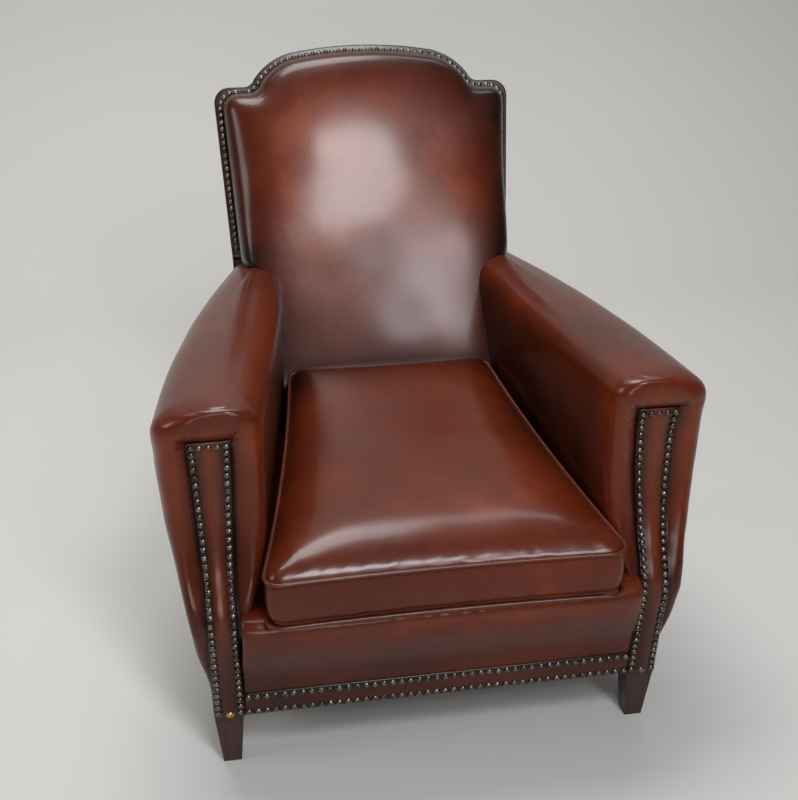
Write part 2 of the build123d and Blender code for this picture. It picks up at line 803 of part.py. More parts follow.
def back_pieces(arms, arm_rails):
    """Frame, padding, covers, edge strip and nails of the back."""
    whole_view = envelope(0)
    inner_view = envelope(leather)
    top = strip_origin_height + (dome_height + overrun) * back_cosine
    outside_cover = frame_band(slab_depth, slab_depth + leather, top) & whole_view
    border_cover = frame_band(0, slab_depth, top) & (whole_view - inner_view)
    border_cover = border_cover - arms[0] - arms[1]
    pieces = {
        "outside_back_cover": one_solid(outside_cover),
        "back_border_cover": one_solid(border_cover),
    }
    # posts
    edge_bend = back_half_bend - back_post_side
    edge_low = back_half_low - back_post_side
    crest_part = crest_start / (shoulder_height - shoulder_round)
    edge_crest = edge_low + (back_half_wide - back_half_low) * crest_part
    upper = (
        (edge_bend - back_post_wide, bend_s),
        (edge_bend, bend_s),
        (edge_low, 0),
        (edge_crest, crest_start),
        (edge_crest - back_post_wide, crest_start),
        (edge_low - back_post_wide, 0),
    )
    upper_post = slab_prism(make_face(Polyline(*upper, close=True)), -slab_depth, -wood_recess)
    edge_base = back_half_base - back_post_side
    post_wires = []
    for height, edge in ((rail_floor, edge_base), (back_bend_height, edge_bend)):
        near = slab_y(height) + wood_recess / back_cosine
        far = slab_y(height) + slab_depth / back_cosine
        post_wires.append(
            Wire.make_polygon([
                (edge - back_post_wide, near, height),
                (edge, near, height),
                (edge, far, height),
                (edge - back_post_wide, far, height),
            ])
        )
    lower_post = Solid.make_loft(post_wires, ruled=True)
    above_bend = block(0, arm_outer_wide, 0, slab_front_y + slab_front_y, back_bend_height, top)
    post = one_solid((upper_post & above_bend) + lower_post)
    pieces["back_post_right"] = post
    pieces["back_post_left"] = mirrored(post)
    # rails
    post_inner = edge_base - back_post_wide
    post_inner_top = post_inner + (edge_bend - edge_base) * (rail_top - rail_floor) / (
        back_bend_height - rail_floor
    )
    rear_face = (
        (-post_inner, rail_floor),
        (post_inner, rail_floor),
        (post_inner_top, rail_top),
        (-post_inner_top, rail_top),
    )
    rail_front = slab_y(rail_top) + wood_recess
    rail_rear = slab_y(rail_floor) + slab_depth / back_cosine
    rear_rail = extrude(
        Plane.XZ.offset(-rail_front) * make_face(Polyline(*rear_face, close=True)),
        amount=rail_front - rail_rear,
    )
    pieces["rear_rail"] = one_solid(rear_rail)
    inner_low = edge_bend - back_post_wide
    pieces["back_lower_rail"] = one_solid(
        slab_box(
            -inner_low,
            inner_low,
            bend_s + lower_rail_high,
            bend_s + 2 * lower_rail_high,
            -slab_depth,
            -wood_recess,
        )
    )
    crest_face = make_face(outline_edges(leather, -overrun))
    crest_hole = make_face(outline_edges(crest_deep, -overrun))
    crest = slab_prism(crest_face, -slab_depth, -wood_recess)
    crest = crest - slab_box(
        -arm_outer_wide, arm_outer_wide, -overrun, crest_start, -slab_depth, overrun
    )
    pieces["crest_rail"] = one_solid(crest - slab_prism(crest_hole, -slab_depth - overrun, overrun))
    # webbing on the front of the frame
    lane = 0.5 * wood_recess
    web_low = bend_s + lower_rail_high + leather
    web_high = crest_start + lower_rail_high
    half_post = edge_low - 0.5 * back_post_wide
    uprights = [
        one_solid(slab_box(x - 0.5 * web_wide, x + 0.5 * web_wide, web_low, web_high,
                           -wood_recess, -lane))
        for x in (-1.5 * web_back_x, -0.5 * web_back_x, 0.5 * web_back_x, 1.5 * web_back_x)
    ]
    levels = [
        one_solid(slab_box(-half_post, half_post, s - 0.5 * web_wide, s + 0.5 * web_wide,
                           -lane, 0))
        for s in (
            web_back_lift - web_back_y - web_back_y,
            web_back_lift - web_back_y,
            web_back_lift,
            web_back_lift + web_back_y,
        )
    ]
    pieces["back_webbing"] = Compound(uprights + levels)
    # padding, springs and inside leather
    form = pad_form(0)
    filling = pad_form(leather)
    pocket_depth = back_spring_high + fabric + slip
    pocket = slab_box(
        -spring_pocket_half, spring_pocket_half, spring_pocket_low, spring_pocket_high,
        -overrun, pocket_depth,
    )
    taken = arms + arm_rails
    pieces["back_padding"] = one_solid(filling - taken - pocket)
    pieces["inside_back_cover"] = one_solid((form - filling) - taken)
    pieces["back_hessian"] = one_solid(
        slab_box(
            slip - spring_pocket_half, spring_pocket_half - slip,
            spring_pocket_low + slip, spring_pocket_high - slip,
            back_spring_high, back_spring_high + fabric,
        )
    )
    small = coil(back_spring_radius, back_spring_radius * seat_spring_waist, spring_turns - 1,
                 back_spring_high, spring_wire)
    springs = []
    for x in (-web_back_x, 0, web_back_x):
        for s in (-web_back_y, 0, web_back_y):
            spot = slab_plane.from_local_coords(Vector(x, s + 0.5 * web_back_y, 0))
            stand = Plane(origin=spot, x_dir=(1, 0, 0), z_dir=slab_plane.z_dir)
            springs.append((stand.location * small).solid())
    pieces["back_springs"] = Compound(springs)
    # edge strip and nails
    strip_face = make_face(outline_edges(0, -overrun)) - make_face(
        outline_edges(edge_strip_wide, -overrun - overrun)
    )
    strip = slab_prism(strip_face, 0, edge_strip_thick)
    strip = strip & slab_box(
        -arm_outer_wide, arm_outer_wide, 0, dome_height + overrun, -overrun, overrun
    )
    strip = strip - arms[0] - arms[1]
    pieces["back_edge_strip"] = one_solid(strip)
    nail_line = Wire(outline_edges(0.5 * edge_strip_wide, -overrun)[1:-2])
    clear = 2.5 * nail_pitch
    run = nail_line.length - clear - clear
    count = round(run / nail_pitch)
    places = []
    for index in range(count + 1):
        along = clear + run * index / count
        spot = nail_line.position_at(along, position_mode=PositionMode.LENGTH)
        point = slab_plane.from_local_coords(Vector(spot.X, spot.Y, edge_strip_thick))
        places.append((point, slab_plane.z_dir))
    pieces["back_nails"] = nail_group(places)
    return pieces


# Seat

def inner_line_x(y, width_at_station):
    """Inside of the arm at a place along the chair, for a width at the inner station."""
    return width_at_station - inner_draw * (y - arm_inner_station)


def seat_pieces(arms):
    """Webbing, springs, padding and cloth under the loose cushion."""
    pieces = {}
    lane = 0.5 * wood_recess
    web_front = front_rail_y + leather
    web_rear = slab_y(rail_top) + wood_recess + leather
    lengthwise = [
        one_solid(block(x - 0.5 * web_wide, x + 0.5 * web_wide, web_front, web_rear,
                        rail_floor - lane, rail_floor))
        for x in (-1.5 * web_seat_x, -0.5 * web_seat_x, 0.5 * web_seat_x, 1.5 * web_seat_x)
    ]
    crosswise = []
    for step in (-2, -1, 0, 1, 2):
        y = seat_spring_mid_y + step * web_seat_y
        half = side_rail_mid(y)
        crosswise.append(
            one_solid(block(-half, half, y - 0.5 * web_wide, y + 0.5 * web_wide,
                            rail_floor - wood_recess, rail_floor - lane))
        )
    pieces["seat_webbing"] = Compound(lengthwise + crosswise)
    spring = coil(seat_spring_radius, seat_spring_radius * seat_spring_waist, spring_turns,
                  seat_spring_top - rail_floor, spring_wire)
    springs = []
    for across in (-1, 0, 1):
        for along in (-1, 0, 1):
            place = (
                across * seat_spring_pitch_x,
                seat_spring_mid_y + along * seat_spring_pitch_y,
                rail_floor,
            )
            springs.append((Location(place) * spring).solid())
    pieces["seat_springs"] = Compound(springs)
    cloth_front = border_back_y + slip
    cloth_rear = slab_y(seat_spring_top) - slip
    cloth = (
        (-inner_line_x(cloth_front, arm_inner_top), cloth_front),
        (inner_line_x(cloth_front, arm_inner_top), cloth_front),
        (inner_line_x(cloth_rear, arm_inner_top), cloth_rear),
        (-inner_line_x(cloth_rear, arm_inner_top), cloth_rear),
    )
    cloth_top = seat_spring_top + fabric
    pieces["seat_hessian"] = one_solid(plan_prism(cloth, seat_spring_top, cloth_top))
    deck = (
        (-arm_inner_foot, border_back_y),
        (arm_inner_foot, border_back_y),
        (back_half_base - back_post_wide, cloth_rear),
        (back_post_wide - back_half_base, cloth_rear),
    )
    deck_under = seat_deck_height - leather
    padding = plan_prism(deck, cloth_top, deck_under) - arms[0] - arms[1]
    pieces["seat_deck_padding"] = one_solid(padding)
    cover = plan_prism(deck, deck_under, seat_deck_height) - arms[0] - arms[1]
    pieces["seat_deck_cover"] = one_solid(cover)
    dust_top = rail_floor - wood_recess
    dust_front = foot_top_wide + front_foot_top_y + slip
    dust_rear = slab_y(rail_floor) - wood_recess
    dust = (
        (-arm_inner_foot, dust_front),
        (arm_inner_foot, dust_front),
        (back_half_base - back_post_wide - leather, dust_rear),
        (back_post_wide + leather - back_half_base, dust_rear),
    )
    pieces["dust_cover"] = one_solid(plan_prism(dust, dust_top - dust_cover_thick, dust_top))
    return pieces


def foot_solid(centre_x, top_y, bottom_y, top_z):
    """Square foot that tapers to the floor; its front is at the given places."""
    def square(middle_x, front_y, wide, height):
        half = 0.5 * wide
        return Wire.make_polygon([
            (middle_x - half, front_y, height),
            (middle_x + half, front_y, height),
            (middle_x + half, front_y + wide, height),
            (middle_x - half, front_y + wide, height),
        ])

    top = square(centre_x, top_y, foot_top_wide, top_z)
    bottom = square(centre_x, bottom_y, foot_bottom_wide, 0)
    return Solid.make_loft([bottom, top], ruled=True)


def corner_pieces():
    """Blocks glued and screwed in the corners of the seat frame, and their screws."""
    front_y = front_rail_y + rail_thick
    post_inner = arm_post_x - 0.5 * arm_post_wide
    mid_high = 0.5 * (rail_floor + rail_top)
    low = mid_high - 0.5 * corner_block_high
    high = mid_high + 0.5 * corner_block_high
    rear_y = slab_y(rail_top) + wood_recess - slip
    rear_inner = back_half_base - back_post_side - back_post_wide - slip
    draw = (post_inner - rear_inner) / (rear_y - front_y)
    front_block = plan_prism(
        (
            (post_inner, front_y),
            (post_inner - corner_block_side, front_y),
            (post_inner - draw * corner_block_side - leather, front_y + corner_block_side),
        ),
        low,
        high,
    )
    rear_block = plan_prism(
        (
            (rear_inner, rear_y),
            (rear_inner - corner_block_side, rear_y),
            (rear_inner, rear_y - corner_block_side),
        ),
        low,
        high,
    )
    blocks = [one_solid(front_block), one_solid(rear_block)]
    blocks = blocks + [mirrored(shape).solid() for shape in blocks]
    shank = Cylinder(screw_radius, screw_length, align=(Align.CENTER, Align.CENTER, Align.MIN))
    head = Cylinder(
        screw_head_radius, screw_head_thick, align=(Align.CENTER, Align.CENTER, Align.MAX)
    )
    screw = shank + head
    screws = []
    for side in (-1, 1):
        for share in screw_place_shares:
            sunk = (1 - share) * corner_block_side * screw_sink_share
            x_front = side * (post_inner - share * corner_block_side)
            start = Plane(origin=(x_front, front_y + sunk, mid_high), z_dir=(0, -1, 0))
            screws.append((start.location * screw).solid())
            x_rear = side * (rear_inner - share * corner_block_side)
            start = Plane(origin=(x_rear, rear_y - sunk, mid_high), z_dir=(0, 1, 0))
            screws.append((start.location * screw).solid())
    return Compound(blocks), Compound(screws)


# Loose cushion

def upper_seam_height(y):
    """Height of the cushion's upper seam at a place along the chair."""
    along = (y - cushion_front_y) / (cushion_rear_y - cushion_front_y)
    return cushion_seam_top + cushion_rise * along


def cushion_outline(inset, height):
    """Plan outline of the cushion at a height, its sides drawn in between the corners."""
    level_share = (height - cushion_seam_low) / (cushion_seam_top - cushion_seam_low)
    front_y = cushion_front_y - cushion_front_lean * min(max(1 - level_share, 0), 1)
    tilt_share = min(max(level_share, 0), 1)
    tilt = math.atan2(cushion_rise * tilt_share, cushion_rear_y - cushion_front_y)
    corners = (
        (inset - cushion_half_front, front_y + inset),
        (cushion_half_front - inset, front_y + inset),
        (cushion_half_rear - inset, cushion_rear_y - inset),
        (inset - cushion_half_rear, cushion_rear_y - inset),
    )
    shrink = 1 - inset / cushion_half_rear
    rounds = (
        cushion_round_front * shrink + welt_radius,
        cushion_round_front * shrink + welt_radius,
        cushion_round_rear * shrink + welt_radius,
        cushion_round_rear * shrink + welt_radius,
    )
    bows = (
        cushion_front_draw * shrink,
        cushion_side_draw * shrink,
        cushion_front_draw * shrink,
        cushion_side_draw * shrink,
    )
    level = height - cushion_front_y * math.tan(tilt)
    plane = Plane(origin=(0, 0, level), x_dir=(1, 0, 0), z_dir=(0, -math.sin(tilt), math.cos(tilt)))
    return rounded_wire(corners, rounds, bows, plane)


def cushion_form(skin):
    """Crowned cushion, drawn in by a skin thickness."""
    boxing_mid = 0.5 * (cushion_seam_low + cushion_seam_top)
    wires = [
        cushion_outline(cushion_bottom_in + skin, cushion_floor + skin),
        cushion_outline(skin, cushion_seam_low + skin),
        cushion_outline(cushion_waist_in + skin, boxing_mid),
    ]
    for rise_share, inset_share in cushion_crown_shares:
        height = cushion_seam_top + (cushion_crown - cushion_seam_top) * rise_share - skin
        wires.append(cushion_outline(cushion_crown_in * inset_share + skin, height))
    return Solid.make_loft(wires, ruled=True)


def welt(height):
    """Piping cord in its leather tube around the cushion at a seam."""
    outer, inner = [], []
    for step in welt_steps:
        turn = math.radians(step)
        level = height + welt_radius * math.sin(turn)
        reach = welt_radius * math.cos(turn)
        outer.append(cushion_outline(-welt_radius - reach, level))
        inner.append(cushion_outline(reach - welt_radius, level))
    return Solid.make_loft(outer, ruled=True) - Solid.make_loft(inner, ruled=True)


def cushion_pieces():
    """Core, leather panels and welts of the loose cushion."""
    whole = cushion_form(0)
    core = cushion_form(leather)
    shell = whole - core
    wide = arm_outer_wide + overrun
    front = cushion_front_y - overrun
    rear = cushion_rear_y + overrun
    ceiling = cushion_crown + cushion_rise + overrun
    above = side_prism(
        (
            (front, upper_seam_height(front)),
            (rear, upper_seam_height(rear)),
            (rear, ceiling),
            (front, ceiling),
        ),
        -wide,
        wide,
    )
    below = block(-wide, wide, front, rear, 0, cushion_seam_low)
    return {
        "cushion_core": one_solid(core),
        "cushion_top_panel": one_solid(shell & above),
        "cushion_bottom_panel": one_solid(shell & below),
        "cushion_boxing": one_solid(shell - above - below),
        "cushion_top_welt": one_solid(welt(cushion_seam_top)),
        "cushion_bottom_welt": one_solid(welt(cushion_seam_low)),
    }


def build_all():
    """Every node of the chair, by name."""
    right_arm = arm_form()
    arms = (right_arm, mirrored(right_arm))
    front_rail, border_cover, border_padding, band_strip = front_pieces(arms)
    nodes = {
        "front_rail": front_rail,
        "front_border_cover": border_cover,
        "front_border_padding": border_padding,
        "front_band_strip": band_strip,
        "front_band_nails": nail_group(band_nail_places()),
    }
    blocks, screws = corner_pieces()
    one_arm = arm_pieces(right_arm, front_rail, blocks)
    for name, piece in one_arm.items():
        nodes[name + "_right"] = piece
        nodes[name + "_left"] = mirrored(piece)
    arm_rails = (nodes["arm_rail_right"], nodes["arm_rail_left"])
    nodes.update(back_pieces(arms, arm_rails))
    nodes.update(seat_pieces(arms))
    front_foot = foot_solid(foot_x, front_foot_top_y, 0, rail_floor)
    rear_top = slab_y(rail_floor) + 0.5 * wood_recess
    rear_x = back_half_base - leather - 0.5 * foot_top_wide
    rear_foot = foot_solid(rear_x, rear_top - leather, rear_top + rear_foot_back, rail_floor)
    nodes["front_foot_right"] = front_foot
    nodes["front_foot_left"] = mirrored(front_foot)
    nodes["rear_foot_right"] = rear_foot
    nodes["rear_foot_left"] = mirrored(rear_foot)
    nodes["corner_blocks"] = blocks
    nodes["block_screws"] = screws
    nodes.update(cushion_pieces())
    return nodes


def write_all(nodes):
    """Move the chair so that the middle of its footprint is the origin, and write it."""
    boxes = [piece.bounding_box() for piece in nodes.values()]
    nearest = min(box.min.Y for box in boxes)
    farthest = max(box.max.Y for box in boxes)
    shift = Location((0, -0.5 * (nearest + farthest), 0))
    os.makedirs("parts", exist_ok=True)
    for name, piece in nodes.items():
        export_step(shift * piece, os.path.join("parts", name + ".step"))
    print("origin moved back by", round(0.5 * (nearest + farthest), 3))


if __name__ == "__main__":
    write_all(build_all())
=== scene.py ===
"""Looks of the leather club armchair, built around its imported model.

Lengths are metres in the chair's own frame: +Y towards the back, +Z up, the floor at 0.
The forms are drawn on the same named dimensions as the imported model, written in
millimetres where they are upholsterer's sizes and turned into metres by MM.
"""

import logging
import math
from dataclasses import dataclass, field
from enum import Enum
from typing import Callable, Iterable, Sequence

import bmesh
import bpy
import numpy as np
from mathutils import Matrix, Vector, noise

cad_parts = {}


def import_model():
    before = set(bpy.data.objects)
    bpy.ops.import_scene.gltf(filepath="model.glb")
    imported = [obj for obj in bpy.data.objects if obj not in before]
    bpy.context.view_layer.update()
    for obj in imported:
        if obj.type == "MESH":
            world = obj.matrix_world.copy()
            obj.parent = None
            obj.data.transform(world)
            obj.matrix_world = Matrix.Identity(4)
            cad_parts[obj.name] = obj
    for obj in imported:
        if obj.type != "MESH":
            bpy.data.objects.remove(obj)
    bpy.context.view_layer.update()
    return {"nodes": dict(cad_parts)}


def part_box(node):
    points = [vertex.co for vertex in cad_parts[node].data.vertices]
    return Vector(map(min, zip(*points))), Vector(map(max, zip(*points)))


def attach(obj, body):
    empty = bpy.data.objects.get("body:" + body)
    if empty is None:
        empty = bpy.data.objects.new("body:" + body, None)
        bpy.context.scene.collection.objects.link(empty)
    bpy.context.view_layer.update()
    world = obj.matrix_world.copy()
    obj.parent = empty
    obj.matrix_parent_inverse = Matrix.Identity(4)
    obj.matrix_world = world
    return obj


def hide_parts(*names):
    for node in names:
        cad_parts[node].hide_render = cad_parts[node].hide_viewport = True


LOG = logging.getLogger("armchair")
MM = 0.001
TINY = 1e-9
WELD_GAP = 0.02 * MM
NOISE_ROUGHNESS = 0.55

# Names of the numbers that the meshes keep at their points
# The tone is how light the leather is drawn, painted shade and painted light included
TONE = "tone"
OUTWARD = "outward"
NAIL_SIZE = "nail_size"

Triple = tuple[float, float, float]
NailPlace = tuple[np.ndarray, np.ndarray, float]

MIRROR = np.array([-1.0, 1.0])
UPWARDS = np.array([0.0, 0.0, 1.0])


class Side(Enum):
    """The two sides of the chair, as someone who looks at its front sees them."""

    LEFT = -1
    RIGHT = 1

    @property
    def word(self) -> str:
        """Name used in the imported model's node names."""
        return self.name.lower()


class Body(Enum):
    """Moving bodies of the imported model."""

    CHAIR = "chair"
    CUSHION = "seat_cushion"


class Slot(Enum):
    """The record's material slots; the formed pieces are not given them here."""

    LEATHER = "leather_brown"
    EDGE = "leather_edge"
    WELT = "leather_welt"
    NAIL = "nail_bronze"
    DUST = "dust_cloth"


# Numbers and curves


def smooth_rows(rows: Sequence[Sequence[float]], per: int) -> np.ndarray:
    """Rows of a table with smooth rows added between them.

    Args:
        rows: The table, one tuple of numbers a row.
        per: How many steps to make between two rows.

    Returns:
        The denser table, by cubic curves; it passes through every row that was given.
    """
    table = np.array(rows, float)
    padded = np.vstack([2 * table[0] - table[1], table, 2 * table[-1] - table[-2]])
    made = []
    for index in range(1, len(padded) - 2):
        before, start, end, after = padded[index - 1 : index + 3]
        for step in range(per):
            t = step / per
            made.append(
                0.5
                * (
                    2 * start
                    + (end - before) * t
                    + (2 * before - 5 * start + 4 * end - after) * t**2
                    + (3 * start - before - 3 * end + after) * t**3
                )
            )
    made.append(table[-1])
    return np.array(made)


def arc_points(start: np.ndarray, middle: np.ndarray, end: np.ndarray, count: int) -> np.ndarray:
    """Points along the arc through three points, without its end.

    Args:
        start: First point, two numbers.
        middle: A point on the arc.
        end: Last point.
        count: How many points to make.

    Returns:
        An array of count points.
    """
    ax, ay = start
    bx, by = middle
    cx, cy = end
    area = 2 * (ax * (by - cy) + bx * (cy - ay) + cx * (ay - by))
    t = np.linspace(0, 1, count, endpoint=False)[:, None]
    if abs(area) < TINY:
        return start + (end - start) * t
    squares = (ax * ax + ay * ay, bx * bx + by * by, cx * cx + cy * cy)
    ux = (squares[0] * (by - cy) + squares[1] * (cy - ay) + squares[2] * (ay - by)) / area
    uy = (squares[0] * (cx - bx) + squares[1] * (ax - cx) + squares[2] * (bx - ax)) / area
    centre = np.array([ux, uy])
    radius = np.linalg.norm(start - centre)
    angles = [math.atan2(*(point - centre)[::-1]) for point in (start, middle, end)]
    turn = 1.0 if area > 0 else -1.0
    sweep = (turn * (angles[2] - angles[0])) % (2 * math.pi)
    spots = angles[0] + turn * sweep * t[:, 0]
    return centre + radius * np.stack([np.cos(spots), np.sin(spots)], axis=1)


def rounded_quad(
    corners: Sequence[tuple[float, float]],
    rounds: Sequence[float],
    bows: Sequence[float],
    counts: Sequence[int],
    round_count: int,
) -> np.ndarray:
    """Closed outline of a quadrilateral with rounded corners and bowed sides.

    Args:
        corners: Its four corners.
        rounds: The round of each corner.
        bows: How far each side swells to its left.
        counts: Points on each side.
        round_count: Points on each corner.

    Returns:
        The outline's points, corner by corner, as an array of (x, y).
    """
    points = [np.array(corner, float) for corner in corners]
    starts, middles, ends = [], [], []
    for index, here in enumerate(points):
        before = points[index - 1] - here
        after = points[(index + 1) % len(points)] - here
        before /= np.linalg.norm(before)
        after /= np.linalg.norm(after)
        opening = math.acos(float(np.clip(before @ after, -1, 1)))
        reach = rounds[index] / math.tan(opening / 2)
        way = before + after
        way /= np.linalg.norm(way)
        starts.append(here + before * reach)
        ends.append(here + after * reach)
        middles.append(here + way * (rounds[index] / math.sin(opening / 2) - rounds[index]))
    made = []
    for index in range(len(points)):
        made.append(arc_points(starts[index], middles[index], ends[index], round_count))
        first, last = ends[index], starts[(index + 1) % len(points)]
        along = (last - first) / np.linalg.norm(last - first)
        across = np.array([-along[1], along[0]])
        t = np.linspace(0, 1, counts[index], endpoint=False)[:, None]
        bow = bows[index] * 4 * t * (1 - t)
        made.append(first + (last - first) * t + across * bow)
    return np.vstack(made)


def smooth_step(low: float, high: float, value: np.ndarray) -> np.ndarray:
    """Smooth change from 0 at low to 1 at high."""
    t = np.clip((value - low) / (high - low), 0, 1)
    return t * t * (3 - 2 * t)


def soft_distance(points: np.ndarray, line: np.ndarray) -> np.ndarray:
    """Distance to a closed line that has no creases where two sides are equally near.

    It is the distance of the one straight edge that would pull as hard on the point as the
    whole line does, when the pull of each bit of line falls with the cube of its distance.

    Args:
        points: Array whose last axis is (x, y).
        line: The closed line's corners.

    Returns:
        One distance for each point; close to the line it is the plain distance.
    """
    softening, least_pull = 1e-3, 1e-12
    flat = points.reshape(-1, 2)
    ends = np.roll(line, -1, axis=0)
    pull = np.zeros(len(flat))
    for start, end in zip(line, ends):
        way = end - start
        length = float(np.hypot(*way))
        if length < TINY:
            continue
        way = way / length
        gap = flat - start
        along = gap @ way
        across = (gap[:, 0] * way[1] - gap[:, 1] * way[0]) ** 2 + softening
        far, near = length - along, -along
        pull += (far / np.sqrt(across + far**2) - near / np.sqrt(across + near**2)) / across
    pull = np.maximum(pull, least_pull)
    return (1.0 / np.sqrt(0.5 * pull)).reshape(points.shape[:-1])


def run_lengths(line: np.ndarray) -> np.ndarray:
    """Distance along a line to each of its points."""
    steps = np.linalg.norm(np.diff(line, axis=0), axis=1)
    return np.concatenate([[0.0], np.cumsum(steps)])


def ripple(points: np.ndarray, scale: float, seed: float) -> np.ndarray:
    """Smooth noise from -1 to 1 at points, with features about 1 / scale long."""
    flat = points.reshape(-1, 3)
    offset = Vector((seed, 2 * seed, 3 * seed))
    values = [noise.noise(Vector(point) * scale + offset) for point in flat]
    return np.array(values).reshape(points.shape[:-1])


@dataclass(frozen=True)
class Shade:
    """A change of tone or relief that comes in smoothly between two values of its measures."""

    amount: float
    steps: tuple[tuple[str, float, float], ...]

    def at(self, measures: dict[str, np.ndarray]) -> np.ndarray | float:
        """The change where the named measures have these values."""
        made = self.amount
        for name, low, high in self.steps:
            made = made * smooth_step(low, high, measures[name])
        return made


def shaded(
    base: float, shades: Sequence[Shade], measures: dict[str, np.ndarray], limits: tuple[float, float]
) -> np.ndarray:
    """Tone of a piece's leather.

    Args:
        base: Tone of the plain leather, from 0 for dark to 1 for light.
        shades: The changes to it, many of them painted shade and painted light.
        measures: What the changes go by, one value for each point.
        limits: Lowest and highest tone that may come out.

    Returns:
        One tone for each point.
    """
    return np.clip(base + sum(shade.at(measures) for shade in shades), *limits)


# Meshes


def linked(name: str, data: bpy.types.ID) -> bpy.types.Object:
    """New object with its data, in the scene."""
    made = bpy.data.objects.new(name, data)
    bpy.context.scene.collection.objects.link(made)
    return made


def keep_at_points(mesh: bpy.types.Mesh, name: str, values: np.ndarray) -> None:
    """Keep a number or a direction at each point of a mesh, under a name."""
    kind, key = ("FLOAT_VECTOR", "vector") if values.ndim > 1 else ("FLOAT", "value")
    attribute = mesh.attributes.new(name, kind, "POINT")
    attribute.data.foreach_set(key, values.astype(np.float32).ravel())


def grid_faces(rows: int, around: int, closed: bool) -> list[tuple[int, ...]]:
    """Quads between rows of points.

    Args:
        rows: Number of rows.
        around: Points in each row.
        closed: Whether each row closes on itself.

    Returns:
        The quads' corners.
    """
    faces = []
    last = around if closed else around - 1
    for row in range(rows - 1):
        for step in range(last):
            after = (step + 1) % around
            faces.append(
                (
                    row * around + step,
                    row * around + after,
                    (row + 1) * around + after,
                    (row + 1) * around + step,
                )
            )
    return faces


def ring_piece(name: str, rings: np.ndarray, tone: np.ndarray | float = 0.5) -> bpy.types.Object:
    """Closed piece through rings of points, its first and last ring filled.

    Args:
        name: The piece's name.
        rings: Array of rings, points and coordinates, in metres.
        tone: How light the leather is drawn at each point, from 0 to 1, any painted shade and painted
            light included.

    Returns:
        The new object, smooth shaded, its faces outwards.
    """
    count, around, _ = rings.shape
    vertices = rings.reshape(-1, 3)
    faces = grid_faces(count, around, True)
    first, last = len(vertices), len(vertices) + 1
    vertices = np.vstack([vertices, rings[0].mean(0), rings[-1].mean(0)])
    for step in range(around):
        after = (step + 1) % around
        faces.append((first, after, step))
        faces.append((last, (count - 1) * around + step, (count - 1) * around + after))
    tones = np.broadcast_to(np.asarray(tone, float), (count, around))
    values = np.concatenate([tones.ravel(), [tones[0].mean(), tones[-1].mean()]])
    mesh = bpy.data.meshes.new(name)
    mesh.from_pydata(vertices.tolist(), [], faces)
    keep_at_points(mesh, TONE, values)
    return finish_mesh(name, mesh)


def finish_mesh(name: str, mesh: bpy.types.Mesh) -> bpy.types.Object:
    """Merge doubles, turn the faces outwards, shade smooth and link the object."""
    shape = bmesh.new()
    shape.from_mesh(mesh)
    bmesh.ops.remove_doubles(shape, verts=shape.verts, dist=WELD_GAP)
    bmesh.ops.recalc_face_normals(shape, faces=shape.faces)
    for face in shape.faces:
        face.smooth = True
    shape.to_mesh(mesh)
    shape.free()
    return linked(name, mesh)


def dress(
    piece: bpy.types.Object,
    material: bpy.types.Material,
    body: Body,
    replaced: Iterable[str],
) -> bpy.types.Object:
    """Give a piece its finish, its body and the nodes that it stands for.

    Args:
        piece: The finished piece.
        material: Its material.
        body: The body that it rides on.
        replaced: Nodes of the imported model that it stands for.

    Returns:
        The same piece.
    """
    piece.data.materials.clear()
    piece.data.materials.append(material)
    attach(piece, body.value)
    names = list(replaced)
    if names:
        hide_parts(*names)
    return piece


def plain_mesh(source: bpy.types.Object, name: str) -> bpy.types.Object:
    """Plain mesh object from an object with live modifiers or a curve.

    Args:
        source: The object to evaluate; it is removed.
        name: Name of the new object.

    Returns:
        The new object.
    """
    bpy.context.view_layer.update()
    graph = bpy.context.evaluated_depsgraph_get()
    mesh = bpy.data.meshes.new_from_object(source.evaluated_get(graph))
    bpy.data.objects.remove(source)
    mesh.name = name
    return linked(name, mesh)


def tube(
    name: str, points: np.ndarray, radius: float, tone: float = 0.35, around: int = 10
) -> bpy.types.Object:
    """Closed cord of leather along a closed line.

    Args:
        name: The piece's name.
        points: The line's points.
        radius: The cord's radius.
        tone: How light its leather is.
        around: Points round the cord.

    Returns:
        The new mesh object.
    """
    after = np.roll(points, -1, axis=0)
    before = np.roll(points, 1, axis=0)
    way = after - before
    way /= np.linalg.norm(way, axis=1)[:, None]
    side = np.cross(way, UPWARDS)
    side /= np.linalg.norm(side, axis=1)[:, None]
    lift = np.cross(side, way)
    turns = np.linspace(0, 2 * math.pi, around, endpoint=False)
    rings = np.stack(
        [points + radius * (math.cos(t) * side + math.sin(t) * lift) for t in turns], axis=1
    )
    count = len(points)
    faces = grid_faces(count, around, True)
    for step in range(around):
        following = (step + 1) % around
        faces.append(
            ((count - 1) * around + step, (count - 1) * around + following, following, step)
        )
    mesh = bpy.data.meshes.new(name)
    mesh.from_pydata(rings.reshape(-1, 3).tolist(), [], faces)
    keep_at_points(mesh, TONE, np.full(len(mesh.vertices), tone))
    return finish_mesh(name, mesh)


